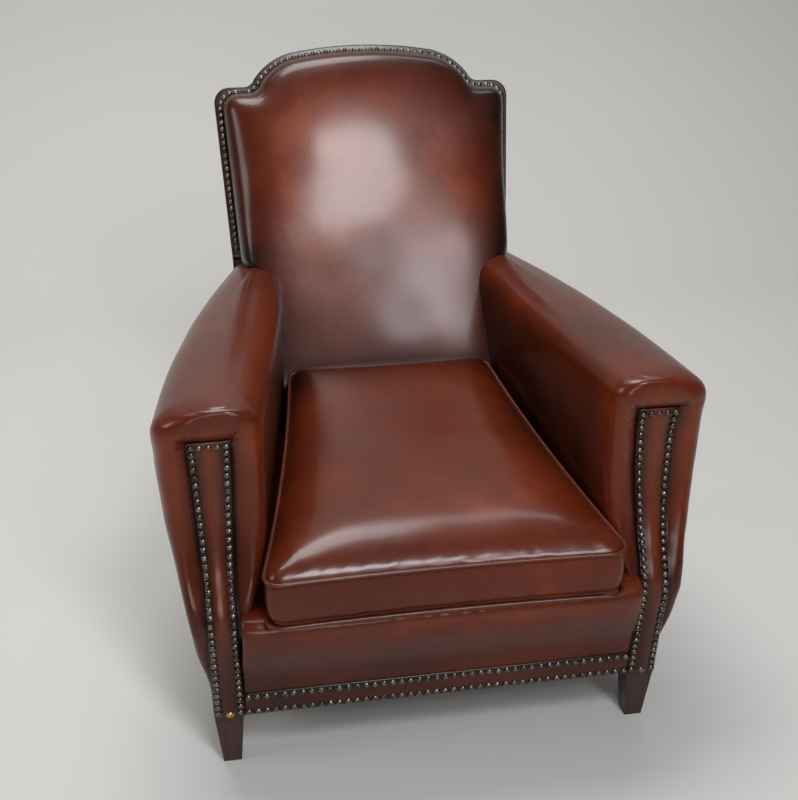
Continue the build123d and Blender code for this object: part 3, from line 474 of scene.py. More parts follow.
def ribbon(
    name: str,
    plan: "Plan",
    left: np.ndarray,
    right: np.ndarray,
    outward: np.ndarray,
    build: Triple,
    lightness: tuple[float, float],
) -> bpy.types.Object:
    """Strip of leather with rounded edges and a raised middle between two lines.

    Args:
        name: The piece's name.
        plan: The chair's plan.
        left: Points of the millimetre drawing along one edge.
        right: Points along the other edge.
        outward: Direction away from what the strip lies on, at each point.
        build: Height of the strip's face above the two lines, how far its back lies below
            them, and how far its middle swells above its edges.
        lightness: Share of the full tone at its start and from its middle on.

    Returns:
        The new mesh object.
    """
    thick, sunk, crown = build
    swell_ends, fade_ends = (0.04, 0.955), (0.1, 0.5)
    # Share of the width, height, share of the crown and tone; the tone is lowest at the edges and
    # along the nails, painted shade where the strip tucks down
    profile = (
        (0.0, -sunk, 0.0, 0.02), (0.0, 0.5 * thick, 0.0, 0.03), (0.025, 0.85 * thick, 0.0, 0.05),
        (0.06, thick, 0.0, 0.08), (0.13, thick, 0.0, 0.06), (0.21, thick, 0.06, 0.24),
        (0.29, thick, 0.55, 0.46), (0.40, thick, 0.92, 0.60), (0.5, thick, 1.0, 0.64),
    )
    section = profile + tuple((1.0 - share, *rest) for share, *rest in profile[-2::-1])
    along = np.linspace(0.0, 1.0, len(left))
    swell = crown * smooth_step(0.0, swell_ends[0], along) * smooth_step(1.0, swell_ends[1], along)
    rings = np.stack(
        [
            left + (right - left) * share + outward * (height + rise * swell)[:, None]
            for share, height, rise, _ in section
        ],
        axis=1,
    )
    start, rest = lightness
    fade = start + (rest - start) * smooth_step(*fade_ends, along)
    tones = fade[:, None] * np.array([tone for _, _, _, tone in section])
    return ring_piece(name, plan.metres(rings), tones)


# Node trees


def linear(red: int, green: int, blue: int) -> Triple:
    """Linear colour of a screen colour given from 0 to 255."""
    made = []
    for value in (red, green, blue):
        share = value / 255
        made.append(share / 12.92 if share <= 0.04045 else ((share + 0.055) / 1.055) ** 2.4)
    return tuple(made)


class Term:
    """A node's value that may be used in Python arithmetic."""

    def __init__(self, graph: "Graph", socket: bpy.types.NodeSocket) -> None:
        """Wrap an output socket of a graph."""
        self.graph = graph
        self.socket = socket

    def _maths(self, operation: str, *others: "Term | float") -> "Term":
        """Add a Math node that joins this value with others."""
        return self.graph.maths(operation, self, *others)

    def __add__(self, other: "Term | float") -> "Term":
        """Sum."""
        return self._maths("ADD", other)

    def __radd__(self, other: float) -> "Term":
        """Sum with a number on the left."""
        return self._maths("ADD", other)

    def __sub__(self, other: "Term | float") -> "Term":
        """Difference."""
        return self._maths("SUBTRACT", other)

    def __rsub__(self, other: float) -> "Term":
        """Difference from a number."""
        return self.graph.maths("SUBTRACT", other, self)

    def __mul__(self, other: "Term | float") -> "Term":
        """Product."""
        return self._maths("MULTIPLY", other)

    def __rmul__(self, other: float) -> "Term":
        """Product with a number on the left."""
        return self._maths("MULTIPLY", other)

    def clamped(self) -> "Term":
        """This value held between 0 and 1."""
        return self._maths("MINIMUM", 1.0)._maths("MAXIMUM", 0.0)


class Graph:
    """A node tree that is built node by node."""

    def __init__(self, tree: bpy.types.NodeTree) -> None:
        """Build on a tree."""
        self.tree = tree

    def node(
        self,
        kind: str,
        settings: dict[str, object] | None = None,
        values: dict[str | int, object] | None = None,
        result: str | int = 0,
    ) -> Term:
        """Add a node.

        Args:
            kind: The node's type.
            settings: Its properties, set before its sockets.
            values: Its sockets, by name or number, as numbers, colours or terms.
            result: Which output to give back.

        Returns:
            The chosen output.
        """
        made = self.tree.nodes.new(kind)
        for key, value in (settings or {}).items():
            setattr(made, key, value)
        for key, value in (values or {}).items():
            self.put(made.inputs[key], value)
        return Term(self, made.outputs[result])

    def put(self, socket: bpy.types.NodeSocket, value: object) -> None:
        """Link a term to a socket, or set its value."""
        if isinstance(value, Term):
            self.tree.links.new(value.socket, socket)
        else:
            socket.default_value = value

    def maths(self, operation: str, *values: "Term | float") -> Term:
        """Add a Math node with its operation and values."""
        return self.node("ShaderNodeMath", {"operation": operation}, dict(enumerate(values)))


class MaterialGraph(Graph):
    """The node tree of one material."""

    def __init__(self, name: str) -> None:
        """Start an empty material with a Principled shader."""
        self.material = bpy.data.materials.new(name)
        self.material.use_nodes = True
        super().__init__(self.material.node_tree)
        self.tree.nodes.clear()
        output = self.tree.nodes.new("ShaderNodeOutputMaterial")
        self.shader = self.tree.nodes.new("ShaderNodeBsdfPrincipled")
        self.tree.links.new(self.shader.outputs["BSDF"], output.inputs["Surface"])

    def ramp(self, share: Term, stops: Sequence[tuple[float, Triple]]) -> Term:
        """Colour from a share along stops.

        Args:
            share: Value from 0 to 1.
            stops: Places and screen colours.

        Returns:
            The colour.
        """
        made = self.tree.nodes.new("ShaderNodeValToRGB")
        elements = made.color_ramp.elements
        while len(elements) < len(stops):
            elements.new(0.5)
        for element, (place, colour) in zip(elements, stops):
            element.position = place
            element.color = (*linear(*colour), 1.0)
        self.put(made.inputs["Fac"], share)
        return Term(self, made.outputs["Color"])

    def place(self) -> Term:
        """Object coordinates."""
        return self.node("ShaderNodeTexCoord", result="Object")

    def noise(self, scale: float, detail: float = 3.0, stretch: Triple = (1, 1, 1)) -> Term:
        """Noise value around one half, with features about 1 / scale metres long."""
        where = self.node(
            "ShaderNodeMapping", values={"Vector": self.place(), "Scale": stretch}
        )
        return self.node(
            "ShaderNodeTexNoise",
            {"noise_dimensions": "3D"},
            {"Vector": where, "Scale": scale, "Detail": detail, "Roughness": NOISE_ROUGHNESS},
        )

    def cells(self, scale: float) -> Term:
        """Distance to the middle of the nearest cell, with cells about 1 / scale across."""
        return self.node("ShaderNodeTexVoronoi", values={"Vector": self.place(), "Scale": scale})

    def attribute(self, name: str) -> Term:
        """A number kept at the piece's own points."""
        return self.node(
            "ShaderNodeAttribute",
            {"attribute_type": "GEOMETRY", "attribute_name": name},
            result="Fac",
        )

    def bump(self, height: Term, distance: float, strength: float = 1.0) -> None:
        """Raise the surface by a height term times a distance in metres."""
        made = self.node(
            "ShaderNodeBump",
            values={"Height": height, "Distance": distance, "Strength": strength},
        )
        self.put(self.shader.inputs["Normal"], made)

    def surface(self, **values: object) -> bpy.types.Material:
        """Set the shader's sockets, with underscores for spaces, and give the material."""
        for key, value in values.items():
            self.put(self.shader.inputs[key.replace("_", " ")], value)
        return self.material


@dataclass(frozen=True)
class LeatherFinish:
    """Hand-coloured leather, uneven by noise, dark where its kept tone is low and light where it is
    high; that tone carries painted shade and painted light.
    """

    name: str
    dark: Triple
    middle: Triple
    light: Triple
    roughness: float = 0.34
    coat: float = 0.34
    coat_roughness: float = 0.17
    specular: float = 0.16
    middle_at: float = 0.45
    cloud_scale: float = 7.0
    cloud: float = 0.50
    patch_scale: float = 24.0
    patch: float = 0.16
    speck_scale: float = 140.0
    speck: float = 0.10
    smear_scale: float = 11.0
    smear: float = 0.16
    patch_smear: float = 0.08
    pore_scale: float = 520.0
    pore: float = 0.7
    grit_scale: float = 900.0
    grit: float = 0.4
    crease_scale: float = 70.0
    crease: float = 3.0
    smear_stretch: Triple = (1.0, 1.0, 2.2)
    crease_stretch: Triple = (1.0, 1.0, 0.6)
    grain_depth: float = 0.1 * MM

    def material(self) -> bpy.types.Material:
        """Build the material."""
        graph = MaterialGraph(self.name)
        cloud = graph.noise(self.cloud_scale, 4.0)
        patch = graph.noise(self.patch_scale, 5.0)
        speck = graph.noise(self.speck_scale, 3.0)
        # The kept tone brings in each piece's painted shade and painted light; the noises add the
        # leather's uneven colour
        share = graph.attribute(TONE) + (cloud - 0.5) * self.cloud
        share = share + (patch - 0.5) * self.patch + (speck - 0.5) * self.speck
        stops = ((0.0, self.dark), (self.middle_at, self.middle), (1.0, self.light))
        colour = graph.ramp(share.clamped(), stops)
        smear = graph.noise(self.smear_scale, 3.0, self.smear_stretch)
        roughness = self.roughness + (smear - 0.5) * self.smear + (patch - 0.5) * self.patch_smear
        grit = graph.noise(self.grit_scale, 2.0)
        grain = graph.cells(self.pore_scale) * self.pore + grit * self.grit
        crease = graph.noise(self.crease_scale, 4.0, self.crease_stretch)
        graph.bump(grain + crease * self.crease, self.grain_depth)
        graph.shader.inputs["Coat Roughness"].default_value = self.coat_roughness
        graph.shader.inputs["Specular IOR Level"].default_value = self.specular
        return graph.surface(
            Base_Color=colour, Roughness=roughness.clamped(), Coat_Weight=self.coat
        )


@dataclass(frozen=True)
class MetalFinish:
    """Metal with a patina in patches."""

    name: str
    bright: Triple
    dull: Triple
    roughness: float
    metallic: float = 0.92
    patina_scale: float = 160.0
    patina: float = 0.25
    patina_stops: tuple[float, float] = (0.35, 0.65)
    pitting_scale: float = 900.0
    pitting: float = 0.06 * MM

    def material(self) -> bpy.types.Material:
        """Build the material."""
        graph = MaterialGraph(self.name)
        patina = graph.noise(self.patina_scale, 3.0)
        colour = graph.ramp(patina, tuple(zip(self.patina_stops, (self.dull, self.bright))))
        graph.bump(graph.noise(self.pitting_scale, 2.0), self.pitting)
        roughness = self.roughness + (patina - 0.5) * self.patina
        return graph.surface(
            Base_Color=colour, Roughness=roughness.clamped(), Metallic=self.metallic
        )


@dataclass(frozen=True)
class WoodFinish:
    """Wood with grain along one direction."""

    name: str
    dark: Triple
    light: Triple
    roughness: float
    grain_along: Triple = (1.0, 1.0, 0.08)
    grain_scale: float = 130.0
    figure_scale: float = 22.0
    wear_scale: float = 60.0
    grain_share: float = 0.6
    wear_share: float = 0.3
    wear_gloss: float = 0.2
    wear_depth: float = 0.6
    colour_stops: tuple[float, float] = (0.3, 0.72)
    grain_depth: float = 0.25 * MM

    def material(self) -> bpy.types.Material:
        """Build the material."""
        graph = MaterialGraph(self.name)
        grain = graph.noise(self.grain_scale, 5.0, self.grain_along)
        figure = graph.noise(self.figure_scale, 3.0, self.grain_along)
        wear = graph.noise(self.wear_scale, 4.0)
        share = grain * self.grain_share + figure * (1.0 - self.grain_share)
        share = share + (wear - 0.5) * self.wear_share
        stops = tuple(zip(self.colour_stops, (self.dark, self.light)))
        colour = graph.ramp(share.clamped(), stops)
        graph.bump(grain + wear * self.wear_depth, self.grain_depth)
        roughness = self.roughness + (wear - 0.5) * self.wear_gloss
        return graph.surface(Base_Color=colour, Roughness=roughness.clamped())


@dataclass(frozen=True)
class ClothFinish:
    """Woven cloth with threads of one spacing."""

    name: str
    shade: Triple
    thread: Triple
    spacing: float
    roughness: float = 0.9
    thread_across: float = 0.1
    thread_rise: float = 0.3
    colour_stops: tuple[float, float] = (0.35, 0.65)

    def material(self) -> bpy.types.Material:
        """Build the material."""
        graph = MaterialGraph(self.name)
        scale = 1.0 / self.spacing
        across = self.thread_across
        one = graph.noise(scale, 1.0, (1.0, across, across))
        other = graph.noise(scale, 1.0, (across, 1.0, across))
        weave = one * 0.5 + other * 0.5
        colour = graph.ramp(weave, tuple(zip(self.colour_stops, (self.shade, self.thread))))
        graph.bump(weave, self.thread_rise * self.spacing)
        return graph.surface(Base_Color=colour, Roughness=self.roughness)


@dataclass
class Finishes:
    """Every material of the chair, made once."""

    leather: bpy.types.Material = field(init=False)
    edge: bpy.types.Material = field(init=False)
    welt: bpy.types.Material = field(init=False)
    nail: bpy.types.Material = field(init=False)
    brass: bpy.types.Material = field(init=False)
    foot: bpy.types.Material = field(init=False)
    frame: bpy.types.Material = field(init=False)
    webbing: bpy.types.Material = field(init=False)
    dust: bpy.types.Material = field(init=False)
    steel: bpy.types.Material = field(init=False)

    def __post_init__(self) -> None:
        """Build the materials."""
        self.leather = LeatherFinish(
            "antiqued_leather", (20, 6, 3), (88, 31, 9), (158, 74, 20)
        ).material()
        self.edge = LeatherFinish(
            "edge_leather", (16, 6, 5), (70, 27, 13), (128, 58, 26), 0.3
        ).material()
        self.welt = LeatherFinish(
            "welt_leather", (40, 15, 10), (90, 38, 21), (150, 84, 50), 0.26
        ).material()
        self.nail = MetalFinish("antique_bronze", (132, 122, 110), (52, 45, 40), 0.26).material()
        self.brass = MetalFinish("bright_brass", (212, 172, 96), (150, 108, 52), 0.2).material()
        self.steel = MetalFinish("spring_steel", (150, 150, 152), (92, 92, 96), 0.38).material()
        self.foot = WoodFinish("stained_foot_wood", (24, 13, 10), (66, 36, 26), 0.42).material()
        self.frame = WoodFinish(
            "beech_frame", (168, 128, 84), (206, 172, 126), 0.6, (0.1, 0.1, 1.0)
        ).material()
        jute = ClothFinish("jute_webbing", (120, 92, 56), (176, 146, 100), 1.6 * MM)
        self.webbing = jute.material()
        self.dust = ClothFinish("dust_cloth", (22, 21, 21), (46, 44, 43), 0.8 * MM).material()


# Shared plan of the chair


@dataclass
class Plan:
    """Driving dimensions shared by the pieces, in millimetres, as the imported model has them."""

    origin_y: float = field(init=False)
    base: float = 94.0
    deck: float = 278.0
    bend_height: float = 300.0
    strip_origin: float = 523.0
    rake: float = 20.0
    lower_rake: float = 8.0
    slab_front: float = 687.0
    slab_depth: float = 38.0
    back_half_low: float = 252.0
    bend_blend: float = 30.0
    front_foot_top: float = -6.0

    def __post_init__(self) -> None:
        """Work out where the back bends and where the drawing's origin lies."""
        rake, low = math.radians(self.rake), math.radians(self.lower_rake)
        self.tangent, self.cosine, self.sine = math.tan(rake), math.cos(rake), math.sin(rake)
        self.low_tangent, self.low_cosine, self.low_sine = (
            math.tan(low), math.cos(low), math.sin(low)
        )
        self.slab_way = np.array([0.0, -self.cosine, self.sine])
        self.bend_y = self.slab_front - (self.strip_origin - self.bend_height) * self.tangent
        self.bend_s = -(self.strip_origin - self.bend_height) / self.cosine
        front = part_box("front_foot_right")[0].y / MM
        self.origin_y = front - self.front_foot_top

    def slab_y(self, height: np.ndarray | float) -> np.ndarray | float:
        """Front of the back frame at a height."""
        upper = self.bend_y + (height - self.bend_height) * self.tangent
        lower = self.bend_y - (self.bend_height - height) * self.low_tangent
        return np.where(np.asarray(height) >= self.bend_height, upper, lower)

    def metres(self, points: np.ndarray) -> np.ndarray:
        """Points of the millimetre drawing in the chair's frame, in metres."""
        return (points + np.array([0.0, self.origin_y, 0.0])) * MM

    def on_slab(self, across: np.ndarray, along: np.ndarray, depth: np.ndarray) -> np.ndarray:
        """Points in the bent plane of the back frame.

        Args:
            across: Distance from the middle plane.
            along: Distance up the frame from the top of the arms.
            depth: Distance in front of the frame.

        Returns:
            Points of the millimetre drawing.
        """
        across, along, depth = np.broadcast_arrays(across, along, depth)
        spare = np.minimum(along - self.bend_s, 0.0)
        upper = np.maximum(along, self.bend_s)
        y = self.slab_front + upper * self.sine + spare * self.low_sine
        z = self.strip_origin + upper * self.cosine + spare * self.low_cosine
        below = np.clip(-spare / self.bend_blend, 0.0, 1.0)
        forward = self.cosine + (1.0 / self.cosine - self.cosine) * below
        lift = self.sine * (1.0 - below)
        return np.stack([across, y - depth * forward, z + depth * lift], axis=-1)


@dataclass
class NailRow:
    """Domed upholstery nails at given places, made by geometry nodes."""

    name: str
    places: list[NailPlace]
    radius: float = 4.9
    rise: float = 3.6
    unevenness: float = 0.1
    seed: int = 4
    segments: int = 16
    ring_count: int = 10

    def tree(self, material: bpy.types.Material) -> bpy.types.NodeTree:
        """Node tree that sets a flattened ball on every point.

        Args:
            material: Finish of the nails.

        Returns:
            The tree, with named inputs for radius, rise, unevenness and seed.
        """
        tree = bpy.data.node_groups.new(self.name + "_tree", "GeometryNodeTree")
        graph = Graph(tree)
        for label, direction, kind in (
            ("Geometry", "INPUT", "NodeSocketGeometry"),
            ("Radius", "INPUT", "NodeSocketFloat"),
            ("Rise", "INPUT", "NodeSocketFloat"),
            ("Unevenness", "INPUT", "NodeSocketFloat"),
            ("Seed", "INPUT", "NodeSocketInt"),
            ("Geometry", "OUTPUT", "NodeSocketGeometry"),
        ):
            tree.interface.new_socket(name=label, in_out=direction, socket_type=kind)
        sockets = tree.nodes.new("NodeGroupInput").outputs
        given = {socket.name: Term(graph, socket) for socket in sockets if socket.name}
        ball = graph.node(
            "GeometryNodeMeshUVSphere",
            values={"Segments": self.segments, "Rings": self.ring_count, "Radius": 1.0},
        )
        stretch = graph.node(
            "ShaderNodeCombineXYZ",
            values={"X": given["Radius"], "Y": given["Radius"], "Z": given["Rise"]},
        )
        dome = graph.node("GeometryNodeTransform", values={"Geometry": ball, "Scale": stretch})
        kept = "GeometryNodeInputNamedAttribute"
        outward = graph.node(kept, {"data_type": "FLOAT_VECTOR"}, {"Name": OUTWARD})
        size = graph.node(kept, {"data_type": "FLOAT"}, {"Name": NAIL_SIZE})
        sway = graph.node(
            "FunctionNodeRandomValue",
            {"data_type": "FLOAT_VECTOR"},
            {0: (-1.0, -1.0, -1.0), 1: (1.0, 1.0, 1.0), "Seed": given["Seed"]},
        )
        scaled = graph.node(
            "ShaderNodeVectorMath",
            {"operation": "SCALE"},
            {0: sway, "Scale": given["Unevenness"]},
        )
        leaning = graph.node(
            "ShaderNodeVectorMath", {"operation": "ADD"}, {0: outward, 1: scaled}
        )
        turn = graph.node("FunctionNodeAlignRotationToVector", {"axis": "Z"}, {"Vector": leaning})
        spread = graph.node(
            "GeometryNodeInstanceOnPoints",
            values={
                "Points": given["Geometry"], "Instance": dome, "Rotation": turn, "Scale": size,
            },
        )
        real = graph.node("GeometryNodeRealizeInstances", values={"Geometry": spread})
        smooth = graph.node("GeometryNodeSetShadeSmooth", values={"Geometry": real})
        finish = graph.node(
            "GeometryNodeSetMaterial", values={"Geometry": smooth, "Material": material}
        )
        graph.put(tree.nodes.new("NodeGroupOutput").inputs["Geometry"], finish)
        return tree

    def build(
        self, plan: Plan, material: bpy.types.Material, body: Body, replaced: Iterable[str]
    ) -> bpy.types.Object:
        """Make the nails as one plain mesh.

        Args:
            plan: The chair's plan.
            material: Finish of the nails.
            body: Body that they ride on.
            replaced: Nodes that they stand for.

        Returns:
            The mesh object.
        """
        mesh = bpy.data.meshes.new(self.name + "_points")
        points = plan.metres(np.array([place for place, _, _ in self.places]))
        mesh.from_pydata(points.tolist(), [], [])
        keep_at_points(mesh, OUTWARD, np.array([way for _, way, _ in self.places]))
        keep_at_points(mesh, NAIL_SIZE, np.array([size for _, _, size in self.places]))
        holder = linked(self.name + "_points", mesh)
        tree = self.tree(material)
        modifier = holder.modifiers.new("nails", "NODES")
        modifier.node_group = tree
        values = {
            "Radius": self.radius * MM,
            "Rise": self.rise * MM,
            "Unevenness": self.unevenness,
            "Seed": self.seed,
        }
        for item in tree.interface.items_tree:
            if item.name in values:
                modifier[item.identifier] = values[item.name]
        made = plain_mesh(holder, self.name)
        return dress(made, material, body, replaced)


# Arms


@dataclass
class Arm:
    """One padded arm with its facing strip and nails."""

    plan: Plan
    side: Side
    height: float = 566.0
    forward: float = -24.0
    sweep: float = 62.0
    inner_foot: float = 276.0
    inner_top: float = 236.0
    foot_wide: float = 55.0
    top_wide: float = 143.0
    outer_station: float = 60.0
    inner_station: float = 15.0
    inner_rear_station: float = 510.0
    inner_rear_in: float = 57.0
    inner_bow: float = 6.0
    outer_bow_low: float = 24.0
    outer_bow_top: float = 20.0
    front_tuck: float = 18.0
    round_base: float = 5.0
    round_outer: float = 38.0
    round_inner: float = 28.0
    round_rear: float = 4.0
    round_limit: float = 0.42
    top_fall: float = 2.2
    top_crown: float = 2.6
    spine_front: float = 76.0
    spine_front_x: float = 300.0
    spine_rear_x: float = 205.0
    spine_shares: tuple[float, ...] = (0.88, 0.75, 0.61, 0.48, 0.36, 0.25, 0.17, 0.1)
    strip_in: float = 27.0
    strip_top: float = 515.0
    strip_build: Triple = (2.5, 2.0, 4.0)
    strip_margin: float = 6.0
    strip_rows: int = 120
    # The facing strip is drawn darker towards its foot: painted shade low down
    strip_lightness: tuple[float, float] = (0.4, 1.0)
    strip_blur: int = 9
    gauge_top: float = 23.0
    gauge_low: float = 15.2
    gauge_low_height: float = 310.0
    gauge_limit: float = 1.05
    nail_pitch: float = 11.5
    nail_inset: float = 8.0
    nail_lift: float = 0.4
    stud_station: float = 6.0
    stud_size: float = 1.3
    front_limit: float = 75.0
    front_zone: Shade = Shade(1.0, (("off_front", 34.0, 2.0),))
    roll: Shade = Shade(1.0, (("clear", -3.0, 26.0),))
    groove_deep: float = 1.4
    groove_wide: float = 4.5
    groove_fade: float = 12.0
    spoke: Shade = Shade(1.1, (("turn", -1.1, -0.3), ("turn", 2.2, 1.4), ("reach", 70.0, 20.0)))
    spoke_zone: Shade = Shade(1.0, (("clear", 1.0, 8.0), ("clear", 46.0, 16.0)))
    spoke_in: float = 6.0
    spoke_under: float = 10.0
    spoke_turns: float = 9.0
    spoke_curl: float = 0.03
    spoke_start: tuple[float, float] = (1.3, 0.7)
    wrinkle: Shade = Shade(
        0.6, (("along", 70.0, 10.0), ("height", 440.0, 500.0), ("height", 566.0, 548.0))
    )
    wrinkle_scale: Triple = (0.05, 0.03, 0.16)
    unevenness: Shade = Shade(1.3, (("height", 94.0, 150.0),))
    unevenness_scale: Triple = (0.018, 0.012, 0.018)
    crest: tuple[float, float] = (308.0, 0.17)
    levels: tuple[tuple[float, float, float, float, float], ...] = (
        (0.0, 0.226, 0.0, 0.0, 1.0),
        (0.119, 0.177, 0.044, 0.025, 1.0),
        (0.235, 0.081, 0.22, 0.075, 0.85),
        (0.331, 0.0, 0.36, 0.25, 0.9),
        (0.405, 0.19, 0.47, 0.5, 0.75),
        (0.479, 0.5, 0.6, 0.75, 0.5),
        (0.564, 0.73, 0.74, 0.9, 0.3),
        (0.669, 0.92, 0.88, 0.94, 0.1),
        (0.786, 1.0, 0.97, 0.975, 0.0),
        (0.842, 0.985, 0.985, 0.99, 0.0),
        (0.888, 0.9, 0.99, 1.0, 0.0),
        (0.911, 0.81, 0.96, 1.0, 0.0),
        (0.932, 0.735, 0.885, 0.98, 0.0),
        (0.951, 0.7, 0.76, 0.93, 0.0),
        (0.968, 0.725, 0.575, 0.82, 0.0),
        (0.983, 0.81, 0.32, 0.64, 0.0),
        (0.993, 0.945, 0.02, 0.42, 0.0),
        (1.0, 1.165, -0.3, 0.17, 0.0),
    )
    roll_line: tuple[tuple[float, float], ...] = (
        (94.0, -10.5), (150.0, -14.5), (205.0, -21.5), (250.0, -27.5), (285.0, -18.0),
        (320.0, -2.0), (360.0, 12.0), (410.0, 22.0), (465.0, 26.0), (500.0, 25.0),
        (516.0, 23.0), (530.0, 20.5), (543.0, 19.0),
    )
    steps: int = 6
    corner_points: int = 14
    side_points: tuple[int, int, int, int] = (46, 70, 12, 70)
    tone_limits: tuple[float, float] = (0.05, 0.95)
    plain_tone: float = 0.24
    shades: tuple[Shade, ...] = (
        # Painted light: lighter higher up the arm
        Shade(0.10, (("height", 430.0, 545.0),)),
        # Painted shade: darker low down, towards the floor
        Shade(-0.12, (("height", 330.0, 110.0),)),
        # Painted shade on the inside of the arm, below its top and towards the rear
        Shade(-0.12, (("inward", 0.0, 60.0), ("height", 545.0, 400.0), ("along", 20.0, 90.0))),
        Shade(-0.14, (("inward", 0.0, 60.0), ("along", 150.0, 480.0), ("height", 560.0, 480.0))),
        # Painted light on the front face, fading out over the brow
        Shade(0.22, (("ahead", 95.0, 0.0), ("height", 240.0, 420.0), ("clear", 1.0, 16.0))),
        Shade(
            -0.176,
            (
                ("ahead", 95.0, 0.0), ("height", 240.0, 420.0), ("height", 515.0, 560.0),
                ("clear", 1.0, 16.0),
            ),
        ),
        # Painted shade in the groove beside the facing strip
        Shade(-0.24, (("ahead", 95.0, 0.0), ("clear", 6.0, 1.0))),
        # Painted shade where the arm runs into the back
        Shade(-0.18, (("along", 520.0, 690.0),)),
        # Darker along the top of the arm
        Shade(-0.10, (("height", 552.0, 566.0), ("along", 90.0, 400.0))),
    )

    def __post_init__(self) -> None:
        """Work out the outer widths, how the sides draw in to the rear, and the strip's place."""
        self.outer_foot = self.inner_foot + self.foot_wide
        self.outer_wide = self.inner_top + self.top_wide
        outer_run = self.plan.slab_front - self.outer_station
        self.side_draw = (self.outer_wide - self.plan.back_half_low) / outer_run
        self.inner_draw = self.inner_rear_in / (self.inner_rear_station - self.inner_station)
        self.strip_x = self.inner_foot + self.strip_in

    def level_points(self, row: Sequence[float]) -> np.ndarray:
        """One outline of the right arm.

        Args:
            row: Height, set-back of the front, outer and inner width and the tuck of the
                front outer corner, as shares.

        Returns:
            Points of the millimetre drawing.
        """
        share, front_share, outer_share, inner_share, tuck_share = row
        height = self.plan.base + (self.height - self.plan.base) * share
        front = self.forward + self.sweep * front_share
        outer = self.outer_foot + (self.outer_wide - self.outer_foot) * outer_share
        inner = self.inner_foot + (self.inner_top - self.inner_foot) * inner_share
        tilt = math.radians(self.top_fall * share)
        rear = float(self.plan.slab_y(height)) / (1 + math.tan(tilt) * self.plan.tangent)
        front_outer = outer + self.side_draw * (self.outer_station - front)
        corners = (
            (inner + self.inner_draw * (self.inner_station - front), front),
            (front_outer - self.front_tuck * tuck_share, front),
            (outer - self.side_draw * (rear - self.outer_station), rear),
            (inner - self.inner_draw * (rear - self.inner_station), rear),
        )
        limit = self.round_limit * (corners[1][0] - corners[0][0])
        rounds = (
            min(self.round_base + (self.round_inner - self.round_base) * share, limit),
            min(self.round_base + (self.round_outer - self.round_base) * share, limit),
            self.round_rear,
            self.round_rear,
        )
        outer_bow = self.outer_bow_low + (self.outer_bow_top - self.outer_bow_low) * share
        bows = (0.0, -outer_bow, 0.0, -self.inner_bow * math.sqrt(max(share, 0.0)))
        flat = rounded_quad(corners, rounds, bows, self.side_points, self.corner_points)
        x, y = flat[:, 0], flat[:, 1]
        return np.stack([x, y * math.cos(tilt), height - y * math.sin(tilt)], axis=1)

    def rows(self) -> np.ndarray:
        """The arm's table with smooth rows between its own."""
        return smooth_rows(self.levels, self.steps)

    def front_line(self) -> tuple[np.ndarray, np.ndarray]:
        """Heights and front faces of the arm, bottom to top."""
        rows = self.rows()
        heights = self.plan.base + (self.height - self.plan.base) * rows[:, 0]
        return heights, self.forward + self.sweep * rows[:, 1]

    def gauge(self, height: np.ndarray | float) -> np.ndarray:
        """Half the distance between the two nail columns."""
        span = self.strip_top - self.nail_inset - self.gauge_low_height
        part = np.clip((np.asarray(height) - self.gauge_low_height) / span, 0, self.gauge_limit)
        return self.gauge_low + (self.gauge_top - self.gauge_low) * part

    def top(self, y: np.ndarray) -> np.ndarray:
        """Height of the arm's top at places along the chair."""
        return self.height - y * math.tan(math.radians(self.top_fall))

    def inner_surface(self, y: np.ndarray, height: np.ndarray) -> np.ndarray:
        """Inside of the arm at places along the chair and heights."""
        rows = self.rows()
        heights = self.plan.base + (self.height - self.plan.base) * rows[:, 0]
        share = (height - self.plan.base) / (self.height - self.plan.base)
        level = height + y * np.tan(math.radians(self.top_fall) * share)
        shares = np.interp(level, heights, rows[:, 3])
        inner = self.inner_foot + (self.inner_top - self.inner_foot) * shares
        return inner - self.inner_draw * (y - self.inner_station)

    def body_rings(self) -> np.ndarray:
        """Rings of the padded arm, its top closed along its spine."""
        rings = [self.level_points(row) for row in self.rows()]
        top = rings[-1]
        along = np.clip(top[:, 1], self.spine_front, self.plan.slab_front)
        ends = [self.spine_front_x, self.spine_rear_x]
        middle_x = np.interp(along, [0, self.plan.slab_front], ends)
        fall = math.tan(math.radians(self.top_fall))
        middle_z = top[:, 2] + (top[:, 1] - along) * fall
        spine = np.stack([middle_x, along, middle_z], axis=1)
        for share in self.spine_shares:
            ring = spine + (top - spine) * share
            ring[:, 2] += self.top_crown * (1.0 - share**2)
            rings.append(ring)
        return np.array(rings)

    def creased(self, rings: np.ndarray) -> np.ndarray:
        """Rings with the pull of the nails and the small wrinkles of the front.

        Args:
            rings: Plain rings of the right arm.

        Returns:
            The same rings, moved.
        """
        moved = rings.copy()
        x, y, z = rings[..., 0], rings[..., 1], rings[..., 2]
        front = np.interp(z, *self.front_line())
        clear = self.clear_of_strip(x, z, 1.0)
        measures = {"along": y, "height": z, "clear": clear, "off_front": np.abs(y - front)}
        near = self.front_zone.at(measures) * (y < self.front_limit)
        roll = np.array(self.roll_line)
        swell = np.maximum(front - np.interp(z, roll[:, 0], roll[:, 1]), 0.0)
        moved[..., 1] -= near * swell * self.roll.at(measures)
        groove = np.exp(-((clear / self.groove_wide) ** 2))
        groove *= smooth_step(self.strip_top + self.groove_fade, self.strip_top, z)
        moved[..., 1] += near * self.groove_deep * groove
        moved[..., 1] += near * self.spokes(x, z) * self.spoke_zone.at(measures)
        side = self.side.value
        wrinkle = ripple(rings * np.array(self.wrinkle_scale), 1.0, seed=11.0 + side)
        moved[..., 1] += self.wrinkle.at(measures) * wrinkle
        soft = ripple(rings * np.array(self.unevenness_scale), 1.0, seed=23.0 + side)
        moved[..., 0] += self.unevenness.at(measures) * soft
        return moved

